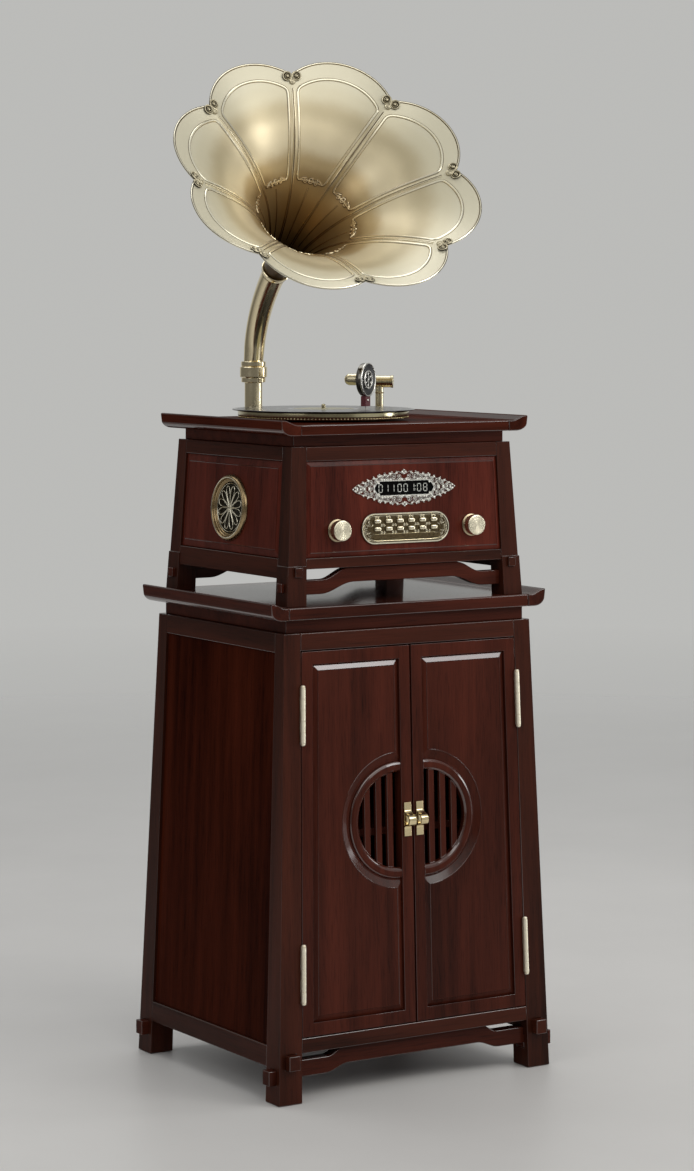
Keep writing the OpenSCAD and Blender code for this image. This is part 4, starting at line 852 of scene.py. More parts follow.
# beads on the horn: their colour darkens towards the throat as painted shade
BEADING = PetalGold("beading_gold", ((0.08, (0.30, 0.205, 0.10)), (0.32, (0.48, 0.35, 0.19)),
                                     (0.40, (0.82, 0.71, 0.48)), (1.0, (0.93, 0.88, 0.70))), (1.0, 0.7), 0.2)
BLACK = Plastic("black_plastic", (0.011, 0.011, 0.012), 0.38)
WINDOW = Plastic("display_window", (0.001, 0.001, 0.001), 0.45, 0.0, 0.0, gloss=0.03)
CONE = Plastic("speaker_cone", (0.018, 0.017, 0.016), 0.75, 0.0, 0.4)
DIGIT = Plastic("display_digits", (0.50, 0.50, 0.46), 0.4, 0.0, 0.0, 0.45)
RUBY = Plastic("red_plastic", (0.095, 0.007, 0.014), 0.22, 0.6)
LABEL = Plastic("record_label", (0.34, 0.32, 0.20), 0.5, 0.2, 0.3)


def settle(obj: Object, body: str, finish: object, slot: Slot, *nodes: str) -> Object:
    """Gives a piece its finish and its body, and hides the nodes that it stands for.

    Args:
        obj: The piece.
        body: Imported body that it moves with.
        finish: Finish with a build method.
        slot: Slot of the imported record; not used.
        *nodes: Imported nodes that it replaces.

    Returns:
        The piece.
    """
    obj.data.materials.append(finish.build())
    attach(obj, body)
    if nodes:
        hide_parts(*nodes)
    LOG.info("%s rides on %s, %d faces", obj.name, body, len(obj.data.polygons))
    return obj


def dressed(node: str, name: str, arris: float, body: str, finish: object, slot: Slot,
            grain: Grain = Grain.LONG, segments: int = 2) -> Object:
    """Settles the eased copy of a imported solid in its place."""
    return settle(soft_copy(node, name, arris, grain, segments), body, finish, slot, node)


# Cabinet and unit


@dataclass
class Panelling:
    """Raised panels: the rounded arris between each panel's bevel and its field."""

    depth: float = 1.0
    half_w: float = 0.75
    half_h: float = 0.5

    def arris(self, panel: Object, body: str, planes: list[Plane]) -> None:
        """Runs a rounded arris round the fields of a panel piece.

        Args:
            panel: The panel piece.
            body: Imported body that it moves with.
            planes: Faces of the body that its fields lie behind.
        """
        skin = Skin()
        for plane in planes:
            path = field_outline(panel, plane, self.depth)
            grid = wire(path, np.array(plane.out), self.half_w * MM, self.half_h * MM, 8, True)
            skin.grid(grid, (True, True))
        settle(skin.make(panel.name + "_arris"), body, WOOD, Slot.WOOD)


@dataclass
class Joinery:
    """Wooden pieces of the cabinet and the sound unit: copies with eased edges and grain along each board."""

    arris: dict[str, float] = field(default_factory=lambda: {
        "cabinet_posts": 1.2, "cabinet_rails": 1.2, "cabinet_stretchers": 1.2, "cabinet_panels": 0.6,
        "cabinet_boards": 0.8, "cabinet_neck": 1.0, "cabinet_top": 1.8,
        "head_posts": 0.45, "head_rails": 1.0, "head_stretchers": 1.0, "head_front_panel": 0.5,
        "head_panels": 0.5, "head_floor": 0.8, "head_neck": 1.0, "head_top": 1.6})
    upright: tuple[str, ...] = ("cabinet_panels", "head_front_panel", "head_panels")
    # the cabinet's panels take the darker copy of the wood, painted shade
    finish: dict[str, Lacquer] = field(default_factory=lambda: {
        "head_top": DECK, "head_front_panel": FIELD, "head_panels": FIELD, "cabinet_panels": PAINTED_SHADE_LACQUER,
        "cabinet_posts": FRAMING, "head_posts": FRAMING, "head_rails": FRAMING, "cabinet_rails": FRAMING})
    fields: dict[str, list[Plane]] = field(default_factory=lambda: {
        "head_front_panel": [FRONT], "head_panels": [UNIT.side(-1), UNIT.side(1)]})

    def build(self) -> None:
        """Builds one copy of each standing board."""
        for node, width in self.arris.items():
            grain = Grain.UPRIGHT if node in self.upright else Grain.LONG
            finish = self.finish.get(node, WOOD)
            board = dressed(node, node + "_wood", width, "cabinet", finish, Slot.WOOD, grain)
            if node in self.fields:
                Panelling().arris(board, "cabinet", self.fields[node])


@dataclass
class Doors:
    """The two doors, with their window slats, pulls and hinges."""

    arris: dict[str, float] = field(default_factory=lambda: {"frame": 0.5, "panel": 0.7, "window": 0.9})
    leaf_arris: float = 0.25
    strap_w: float = 13.4
    strap_t: float = 2.4
    line: tuple[tuple[float, float], ...] = (
        (27, 1.3), (16.5, 1.3), (13, 1.9), (10.2, 4.2), (7.6, 8.6), (6.2, 12.8), (3.9, 15.6), (0.4, 16.6),
        (-3.6, 16.5), (-6.8, 15.2), (-8.5, 12.4), (-8.9, 8), (-9.6, 4.4), (-11.4, 1.9), (-14, 1.3),
        (-27, 1.3))

    def build(self) -> None:
        """Builds both doors and the leaves that stay on the posts."""
        for side in ("left_door", "right_door"):
            for part, width in self.arris.items():
                grain = Grain.UPRIGHT if part != "window" else Grain.LONG
                node = f"{side}_{part}"
                piece = dressed(node, node + "_wood", width, side, WOOD, Slot.WOOD, grain)
                if part == "panel":
                    Panelling().arris(piece, side, [CABINET.front()])
            self.pull(side)
            self.leaves(f"{side}_leaves", f"{side}_hinge_leaves", side)
        self.leaves("hinge_post_leaves", "post_hinge_leaves", "cabinet")

    def leaves(self, node: str, name: str, body: str) -> None:
        """Builds the copy of one set of hinge leaves."""
        dressed(node, name, self.leaf_arris, body, HINGE, Slot.BRASS, segments=1)

    def pull(self, side: str) -> None:
        """Builds one pull: a strap that swells outwards and curls back, and the thin plate behind it."""
        low, high = (np.array(c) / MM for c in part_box(f"{side}_handle"))
        middle = (low + high) / 2
        plane = CABINET.front().shifted(middle[0], middle[2] / CABINET.front().up[2])
        skin = Skin()
        for line, wide, thick in ((np.array(self.line), self.strap_w, self.strap_t),
                                  (np.array([(15, 0.8), (-13, 0.8)]), self.strap_w - 0.8, 1.3)):
            path = eased(line, 1.6, 4)
            block = np.array([[-1, -1], [1, -1], [1, 1], [-1, 1]]) * np.array([wide, thick]) / 2
            skin.grid(carried(plane.at(0.0, path[:, 0], path[:, 1]), np.cross(plane.right, plane.up),
                              eased(block, 0.5, 4, closed=True) * MM), (False, True))
        settle(skin.make(f"{side}_pull"), side, POLISHED, Slot.BRASS, f"{side}_handle")


@dataclass
class Display:
    """Lacy silver frame and the lit window in it, on the unit's front."""

    middle_w: float = 181.0
    window_l: float = 114.0
    window_h: float = 21.0
    wire_r: float = 0.66
    digit_h: float = 12.0
    digit_w: float = 6.6
    digits: tuple[tuple[float, str], ...] = (
        (-45.5, "abcdef"), (-34.5, "bc"), (-23, "bc"), (-9.0, "abcdef"), (2.6, "abcdef"), (15.5, "bc"),
        (28.6, "abcdef"), (40.5, "abcdefg"))

    def plane(self) -> Plane:
        """Returns the front face with its origin at the window's middle."""
        return FRONT.shifted(0, self.middle_w)

    def octagon(self, grow: float) -> Array:
        """Returns the window's outline, grown evenly."""
        a, b = self.window_l / 2 + grow * 1.25, self.window_h / 2 + grow
        c = self.window_l / 2 - self.window_h * 0.35 + grow * 0.5
        return np.array([[-a, 0], [-c, b], [c, b], [a, 0], [c, -b], [-c, -b]])

    def scrolls(self) -> list[Array]:
        """Returns the quarter pattern of scrolls, leaves and edge lobes."""
        big = [(9, 18, 5.6, 200), (20.5, 19, 5.8, -20), (32, 17.6, 5.4, 190), (43, 16.6, 5.2, -10),
               (53.5, 13.2, 5.2, 180), (63.5, 8.8, 5.0, -30), (66.5, 1.5, 3.6, 90), (73.5, 7.4, 4.6, 150),
               (75.5, 0.6, 3.2, -60), (82.5, 3.6, 3.8, 160), (90, 1.2, 3.0, -20)]
        small = [(2.6, 25.6, 3.0, 250), (14.8, 24.4, 3.0, 60), (26.4, 23.6, 3.0, 240), (37.8, 21.8, 2.8, 70),
                 (48.6, 20.0, 2.8, 230), (58.6, 16.6, 2.6, 60), (68.4, 13.2, 2.4, 220), (78.8, 10.0, 2.2, 50),
                 (86.6, 6.4, 2.0, 200), (93.8, 2.4, 1.6, 20), (4.6, 14.0, 2.4, 20), (26.4, 14.2, 2.4, 120),
                 (38.0, 13.4, 2.2, 20), (49.6, 9.0, 2.4, 100), (58.4, 4.2, 2.6, 40)]
        return [spiral(x, w, r, s, 1.7 if r > 3.3 else 1.25) for x, w, r, s in big + small]

    def edge(self, t: Array) -> Array:
        """Returns the lobed outer edge: an ellipse-like outline whose height falls as a power, with lobes."""
        x = 96.5 * np.cos(t) * (0.9 + 0.1 * np.abs(np.cos(t)))
        share = np.clip(1 - np.abs(x) / 97.5, 0, 1) ** 0.62
        lobes = 1 + 0.055 * np.cos(np.abs(x) / 11.4 * TAU)
        return np.stack([x, np.sign(np.sin(t)) * 27.2 * share * lobes], 1)

    def build(self) -> None:
        """Builds the openwork frame, its beads and the lit digits."""
        plane = self.plane()
        skin = Skin()
        for grow, half_w, half_h in ((1.4, 1.1, 1.28), (4.0, 0.55, 0.8)):
            window = eased(self.octagon(grow), 3.0, 5, closed=True)
            skin.strand(plane, window, 0.2, half_w, half_h, 8, True)
        skin.strand(plane, self.edge(np.arange(240) * TAU / 240), -0.1, 0.6, 1.0, 6, True)
        for path in mirrored(self.scrolls(), QUARTERS):
            skin.strand(plane, path, 0.1, self.wire_r * (1.0 if np.ptp(path[:, 0]) > 6.5 else 0.8), 1.15)
            eye = [[0, -1.2], [1.3, -1.2], [1.3, 0.6], [0, 1.3]]
            skin.turned(plane.shifted(*path[-1], 0.2), eye, 0.5, 3, 8)
        for x, w, r in ((0, 28.9, 1.5), (97.9, 0, 1.4), (0, 23.2, 1.8), (84, 0, 1.5), (46.8, 22.4, 1.3),
                        (23.0, 26.0, 1.3), (70.4, 15.2, 1.2)):
            for sx, sw in QUARTERS:
                bead = [[0, -0.9], [r, -0.9], [r, 0.5], [0, 1.5]]
                skin.turned(plane.shifted(sx * x, sw * w), bead, 0.6, 3, 10)
        settle(skin.make("display_filigree"), "cabinet", SILVER, Slot.NICKEL, "display_bezel")
        self.light(plane)
        dressed("display_module", "display_glass", 0.3, "cabinet", WINDOW, Slot.BLACK, segments=1)

    def light(self, plane: Plane) -> None:
        """Builds the digits as thin bevelled bars, seven to a figure, and the colon."""
        h, w = self.digit_h / 2, self.digit_w / 2
        bars = {"a": (0, h, 1), "b": (w, h / 2, 0), "c": (w, -h / 2, 0), "d": (0, -h, 1),
                "e": (-w, -h / 2, 0), "f": (-w, h / 2, 0), "g": (0, 0, 1)}
        skin = Skin()
        for x0, lit in self.digits:
            for key in lit:
                x, y, flat = bars[key]
                long, thin = (w - 0.7 if flat else h / 2 - 0.6), 0.38
                shape = np.array([[-long - 0.3, 0], [-long + 0.5, thin], [long - 0.5, thin], [long + 0.3, 0],
                                  [long - 0.5, -thin], [-long + 0.5, -thin]])
                shape = shape if flat else shape[:, ::-1]
                self.bar(skin, plane, shape + np.array([x0 + x, y]))
        for y in (-2.6, 2.6):
            self.bar(skin, plane, np.array([21.6, y]) + 0.6 * direction(np.arange(0, 360, 60)))
        settle(skin.make("display_figures"), "cabinet", DIGIT, Slot.BLACK)

    def bar(self, skin: Skin, plane: Plane, shape: Array) -> None:
        """Adds one flat lit shape: its outline at the glass, a smaller one just over it, and its middle."""
        mid = shape.mean(0)
        rows = [(mid, 0.405), (shape, 0.405), (shape * 0.92 + mid * 0.08, 0.5), (mid, 0.5)]
        grid = [plane.at(np.broadcast_to(s[..., 0], 6), np.broadcast_to(s[..., 1], 6), h) for s, h in rows]
        skin.grid(np.stack(grid), (False, True))


@dataclass
class Controls:
    """Button plate with its twelve buttons, and the two knobs."""

    plate_w: float = 117.0
    plate_l: float = 168.0
    plate_h: float = 49.0
    strip_l: float = 138.0
    strip_w: float = -14.0
    pitch: float = 21.7
    low_row: float = 116.5
    row_pitch: float = 12.4
    button_l: float = 12.6
    button_h: float = 7.0
    button_front: float = 5.2
    knob_x: float = 129.0
    knob_r: float = 16.5
    knob_l: float = 18.0

    def build(self) -> None:
        """Builds the plate's relief, the buttons and the knobs."""
        self.plate(FRONT.shifted(0, self.plate_w))
        for i in range(12):
            x = (i % 6 - 2.5) * self.pitch
            w = self.low_row + (self.row_pitch if i < 6 else 0)
            self.button(FRONT.shifted(x, w), f"button_{i + 1:02d}")
        for name, x in (("left_knob", -self.knob_x), ("right_knob", self.knob_x)):
            self.knob(FRONT.shifted(x, self.plate_w), name)

    def stadium(self, grow: float, n: int = 40) -> Array:
        """Returns the plate's round-ended outline, grown evenly."""
        r, half = self.plate_h / 2 + grow, self.plate_l / 2 - self.plate_h / 2
        return np.concatenate([direction(np.linspace(a - 90, a + 90, n)) * r + np.array([s * half, 0])
                               for a, s in ((0, 1), (180, -1))])

    def plate(self, plane: Plane) -> None:
        """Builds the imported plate's copy, the rim beads, the scrolled ground and the fluted strip."""
        dressed("button_plate", "button_plate_base", 0.25, "cabinet", PLATE_GOLD, Slot.BRASS, segments=1)
        skin = Skin()
        for grow, half_w, out in ((-1.3, 1.2, 2.1), (-4.4, 0.6, 1.3)):
            skin.strand(plane, self.stadium(grow), out, half_w, 0.9, 8, True)
        ends = [spiral(67.5, 8.5, 5.6, 200), spiral(67.5, -9.0, 5.4, 160), spiral(75.6, 3.4, 4.4, -60),
                spiral(75.2, -5.4, 4.0, 60), spiral(70.0, 16.0, 3.4, 240), spiral(70.2, -16.4, 3.0, 120)]
        paths = mirrored(ends, [(1, 1), (-1, 1)])
        for k in range(-3, 4):
            for w, s in ((17.6, 20), (5.7, 200), (-6.6, 60)):
                x = (k + (0.5 if w > 17 else 0.0)) * self.pitch
                if abs(x) < 63:
                    paths += [spiral(x - 2.4, w, 2.3, s, 1.3, n=14),
                              spiral(x + 2.4, w, 2.3, 180 - s, -1.3, n=14)]
        for path in paths:
            skin.strand(plane, path, 1.3, 0.55, 0.75)
        strip = self.stadium(0.0) * np.array([self.strip_l / self.plate_l, 0.205])
        strip = strip + np.array([0, self.strip_w])
        skin.strand(plane, strip, 1.3, 0.6, 0.9, 6, True)
        half = self.strip_l / 2 - 6
        for i in range(5):
            x = np.linspace(-half + i * 3.0, half - (4 - i) * 3.0, 24)
            low = self.strip_w + 2.6 - i * 1.3 + (i - 2) * 0.5 * x / half
            skin.strand(plane, np.stack([x, low], 1), 1.2, 0.42, 0.8)
        settle(skin.make("button_plate_relief"), "cabinet", RELIEF, Slot.BRASS)

    def button(self, plane: Plane, name: str) -> None:
        """Builds one pillow-shaped button.

        Its outline is the superellipse |x/a|^4 + |w/b|^4 = 1, and its height falls towards the edge as the
        square root of 1 - f^4, where f is the share of the way to the edge.
        """
        a = np.arange(36) * TAU / 36
        outline = np.stack([np.sign(np.cos(a)) * np.abs(np.cos(a)) ** 0.5 * self.button_l / 2,
                            np.sign(np.sin(a)) * np.abs(np.sin(a)) ** 0.5 * self.button_h / 2], 1)
        share = np.array([1e-4, 0.2, 0.4, 0.58, 0.72, 0.84, 0.92, 0.97, 1.0])
        height = self.button_front - 2.4 + 2.4 * np.sqrt(np.maximum(0, 1 - share ** 4))
        share, height = np.append(share, [1.0, 1e-4]), np.append(height, [-4.0, -4.0])
        grid = plane.at(share[:, None] * outline[:, 0], share[:, None] * outline[:, 1], height[:, None])
        settle(Skin().grid(grid, (False, True)).make(name + "_cap"), name, CAP_GOLD, Slot.BRASS, name)

    def knob(self, plane: Plane, name: str) -> None:
        """Builds one knob: shaft, flange, waist, cap, and a face whose height ripples with its radius; the
        flange and waist carry painted shade.
        """
        r, l = self.knob_r, self.knob_l
        shape = np.array([[0, -20], [3, -20], [3, -0.7], [r + 1.5, -0.7], [r + 1.5, 1.2], [r - 1.2, 1.8],
                          [r - 1.6, 3.0], [r - 1.2, 4.4], [r - 0.2, 5.0], [r, 5.6], [r, l - 2.0],
                          [r - 0.4, l - 1.5], [r - 1.2, l - 1.0], [r - 2.0, l - 1.0]])
        face = np.linspace(r - 2.2, 0, 52)
        face = np.stack([face, l - 1.12 + 0.07 * np.cos(face / 1.25 * TAU)], 1)
        profile = np.concatenate([eased(shape, 0.35, 3), face])
        # the flange and waist, under 5.2 mm high, get mark 0.8 and turn darker: painted shade in the waist's
        # groove and behind the cap
        mark = np.where(profile[:, 1:2] < 5.2, 0.8, 0.0)
        skin = Skin().grid(spun(profile, plane, 120), (False, True), mark)
        settle(skin.make(name + "_turned"), name, SPUN, Slot.BRASS, name)


@dataclass
class Grilles:
    """Round loudspeaker grilles on the unit's sides: moulded ring, woven mesh and a flower of wire petals."""

    middle_w: float = 146.0
    radius: float = 54.0
    mesh_r: float = 42.6
    petals: int = 12
    bars: int = 27

    def build(self) -> None:
        """Builds the ring, mesh and flower of both sides."""
        ring, mesh, flower = Skin(), Skin(), Skin()
        for sign in (-1, 1):
            plane = UNIT.side(sign).shifted(0, self.middle_w, -1.0)
            self.ring(ring, plane)
            self.mesh(mesh, plane)
            self.flower(flower, plane)
        settle(ring.make("grille_rings"), "cabinet", UMBER, Slot.BRONZE, "speaker_rosettes")
        settle(mesh.make("grille_mesh"), "cabinet", MESH, Slot.BRONZE)
        settle(flower.make("grille_flowers"), "cabinet", RELIEF, Slot.BRONZE)

    def ring(self, skin: Skin, plane: Plane) -> None:
        """Adds the ring: a profile with a high rim and two grooves inside it, turned about the centre."""
        r = self.radius
        shape = [[r - 12.0, 0.3], [r, 0.02], [r, 1.8], [r - 1.0, 4.6], [r - 2.6, 7.0], [r - 4.2, 8.0],
                 [r - 5.6, 7.8], [r - 6.4, 6.4], [r - 6.9, 3.4], [r - 8.0, 2.2], [r - 9.0, 2.9],
                 [r - 10.0, 2.2], [r - 11.0, 2.6], [r - 12.0, 1.6]]
        skin.turned(plane, shape, 0.5, 3, 120, closed=True)

    def mesh(self, skin: Skin, plane: Plane) -> None:
        """Adds the mesh: two crossing sets of thin bars, each as long as the circle is wide there."""
        for turn in (45, 135):
            along, across = direction(turn), direction(turn + 90)
            for c in np.linspace(-self.mesh_r + 1.6, self.mesh_r - 1.6, self.bars):
                half = math.sqrt(self.mesh_r ** 2 - c * c)
                skin.strand(plane, np.outer(np.array([-half, half]), along) + c * across, 0.5, 0.5, 0.35, 4)

    def flower(self, skin: Skin, plane: Plane) -> None:
        """Adds the flower: petals that widen towards round tips, a hub and a thin ring round the tips."""
        t = np.arange(40) * TAU / 40
        s = (1 - np.cos(t)) / 2
        radial = 3.4 + 32.4 * s
        lateral = 15.5 * np.sqrt(np.maximum(s * (1 - s), 0)) * s ** 0.8 * np.sign(np.sin(t))
        for k in range(self.petals):
            e, f = direction(k * 360 / self.petals + 15), direction(k * 360 / self.petals + 105)
            skin.strand(plane, radial[:, None] * e + lateral[:, None] * f, 1.7, 0.5, 0.7, 6, True)
        for radius, out, half in ((39.4, 1.4, 0.4), (48.8, 8.0, 0.8)):
            skin.strand(plane, radius * direction(np.arange(120) * 3.0), out, half, 0.6, 6, True)
        skin.turned(plane, [[0, 0.3], [3.8, 0.3], [3.8, 1.8], [2.6, 2.6], [0, 3.0]], 0.5, 3, 32)


@dataclass
class Insides:
    """What stands inside the unit and at its back."""

    arris: float = 0.4

    def build(self) -> None:
        """Builds copies of the amplifier, the loudspeakers, the inlet and the turntable's bearing."""
        for node in ("amplifier", "speakers", "power_inlet", "turntable_base"):
            width, finish = (0, CONE) if node == "speakers" else (self.arris, BLACK)
            dressed(node, node + "_body", width, "cabinet", finish, Slot.BLACK, segments=1)


# Turntable and tonearm


@dataclass
class Turntable:
    """Platter with its strobe dots, and the record on it."""

    x: float = -42.0
    y: float = -6.0
    platter_r: float = 141.0
    record_r: float = 150.5
    dots: int = 150

    def plane(self, height: float) -> Plane:
        """Returns a level face round the spindle, at a height over the deck."""
        return Plane((self.x, self.y, DECK_Z + height), (1, 0, 0), (0, 1, 0), (0, 0, 1))

    def build(self) -> None:
        """Builds the platter, the dots, the record and its label."""
        self.platter()
        self.record()

    def platter(self) -> None:
        """Builds the platter from its bearing shaft to the spindle's tip, and dots round its lower edge."""
        r = self.platter_r
        shape = [[0, -33], [5, -33], [5, 3], [r - 3, 3], [r - 1.2, 3.6], [r - 1.2, 6.6], [r - 0.4, 7.2],
                 [r, 8.0], [r, 14.6], [r - 1.2, 16], [r - 5, 16], [3.6, 16], [3.6, 18.02], [3.4, 18.02],
                 [3.4, 24.0], [2.8, 25.3], [0, 26.0]]
        platter = Skin().turned(self.plane(0), shape, 0.7, 3, 200).make("platter_turned")
        settle(platter, "platter", OLIVE, Slot.NICKEL, "platter")
        skin = Skin()
        for k in range(self.dots):
            e = direction(k * 360 / self.dots)
            middle = self.plane(5.1).at(*((r - 1.3) * e)) / MM
            face = Plane(tuple(middle), (-e[1], e[0], 0.0), (0, 0, 1), (*e, 0.0))
            skin.grid(spun(np.array([[0, -0.3], [1.25, -0.3], [1.1, 0.5], [0, 0.9]]), face, 6), (False, True))
        settle(skin.make("strobe_dots"), "platter", POLISHED, Slot.NICKEL)

    def record(self) -> None:
        """Builds the record: rolled edge, five bands of groove, run-out ground and a raised label."""
        r = self.record_r
        low, high = 16.02, 18.02
        bands = np.array([58, 60, 76, 77.2, 92, 93.2, 110, 111.2, 127, 128.2, 143, 145])
        top = np.stack([bands, np.full(len(bands), high - 0.25)], 1)
        edge = [[3.65, low], [r - 0.8, low], [r, low + 0.7], [r, high - 0.7], [r - 0.8, high],
                [r - 3.5, high - 0.1]]
        shape = np.concatenate([edge, top[::-1], [[52, high - 0.25], [51, high], [3.65, high]]])
        profile = eased(shape, 0.3, 3, closed=True)
        at, height = profile.T
        gap = np.min(np.abs(profile[:, :1] - np.array([76.6, 92.6, 110.6, 127.6])), axis=1) < 0.75
        smooth = (height <= high - 0.5) | (at < 59.5) | (at > 143.5) | gap
        skin = Skin().grid(spun(profile, self.plane(0), 200), (True, True), smooth[:, None].astype(float))
        centre = (self.x * MM, self.y * MM, 0.0)
        settle(skin.make("record_disc"), "platter", Vinyl(centre), Slot.VINYL, "record")
        ring = np.array([[3.9, -0.02], [50, -0.02], [50, 0.06], [46, 0.06], [45.6, 0.12], [45.0, 0.06],
                         [18, 0.06], [17.6, 0.12], [17.2, 0.06], [3.9, 0.06]])
        label = Skin().grid(spun(ring, self.plane(high), 96), (True, True))
        settle(label.make("record_label"), "platter", LABEL, Slot.VINYL)


@dataclass
class Tonearm:
    """Post, crossbar, lifting tube, soundbox and cartridge."""

    x: float = 149.0
    y: float = 118.0
    turn: float = 231.5
    reach: float = 242.5
    box_z: float = 66.52
    box_turn: float = 70.4
    box_r: float = 28.0
    box_t: float = 12.0

    def face(self) -> Plane:
        """Returns the soundbox's face: its origin is the box's middle, and it looks towards the front."""
        e, n = direction(self.turn), direction(self.turn + self.box_turn)
        centre = (self.x + self.reach * e[0], self.y + self.reach * e[1], DECK_Z + self.box_z)
        return Plane(centre, (-n[1], n[0], 0.0), (0, 0, 1), (*n, 0.0))

    def build(self) -> None:
        """Builds all its pieces."""
        for part, body, width in (("post", "cabinet", 0.4), ("crossbar", "tonearm_swivel", 0.5),
                                  ("tube", "tonearm", 0.4)):
            dressed(f"tonearm_{part}", f"tonearm_{part}_brass", width, body, GOLD, Slot.BRASS)
        self.soundbox()
        dressed("cartridge", "cartridge_shell", 0.35, "tonearm", RUBY, Slot.RED)
        side = self.face().shifted(0, -33.5, 4.4)
        screw = Skin().turned(side, [[0, -0.5], [2.6, -0.5], [2.6, 0.7], [0, 1.2]], 0.4, 3, 24)
        settle(screw.make("cartridge_screw"), "tonearm", CHROME, Slot.NICKEL)

    def soundbox(self) -> None:
        """Builds the box: a dark barrel, a thin bright rim, the black dish in it and the pierced rosette."""
        plane, r, h = self.face(), self.box_r, self.box_t / 2
        barrel = [[0, -h], [9, -h], [9.5, -h + 0.6], [r - 4, -h + 0.6], [r - 2.4, -h], [r - 1, -h + 1.4],
                  [r - 0.6, h - 3.0], [r - 2.5, h - 3.0], [0, h - 3.4]]
        rim = [[r - 2.6, h - 3.2], [r - 0.7, h - 3.2], [r, h - 2.4], [r, h - 0.9], [r - 0.8, h], [r - 2.0, h],
               [r - 2.6, h - 0.9]]
        dish = [[0, h - 3.3], [r - 2.4, h - 3.3], [r - 2.4, h - 1.0], [r - 4.4, h - 1.6], [r - 8.0, h - 2.8],
                [16, h - 2.9], [0, h - 2.9]]
        for name, shape, ease, n, closed, finish, nodes in (
                ("barrel", barrel, 0.5, 96, False, GUNMETAL, ["soundbox"]),
                ("rim", rim, 0.5, 96, True, SILVER, []), ("dish", dish, 0.6, 72, False, BLACK, [])):
            part = Skin().turned(plane, shape, ease, 3, n, closed).make("soundbox_" + name)
            settle(part, "tonearm", finish, Slot.NICKEL, *nodes)
        skin = Skin()
        for r0, r1, top in ((12.6, 15.6, h), (0.0, 2.6, h - 0.4)):
            ring = [[r0, h - 3.1], [r1, h - 3.1], [r1, top - 0.8], [r1 - 0.8, top], [r0 + 0.5, top],
                    [r0, top - 0.6]]
            skin.turned(plane, ring, 0.4, 3, 60, closed=True)
        for k in range(6):
            e = direction(60 * k + 30)
            skin.strand(plane, np.linspace(2.0, 13.0, 6)[:, None] * e, h - 1.4, 0.8, 1.1)
            bud = [[0, 0], [1.9, 0], [1.9, 1.6], [0, 2.3]]
            skin.turned(plane.shifted(*(9.4 * e), h - 2.6), bud, 0.5, 3, 12)
        settle(skin.make("soundbox_rosette"), "tonearm", SILVER, Slot.NICKEL)


# Horn


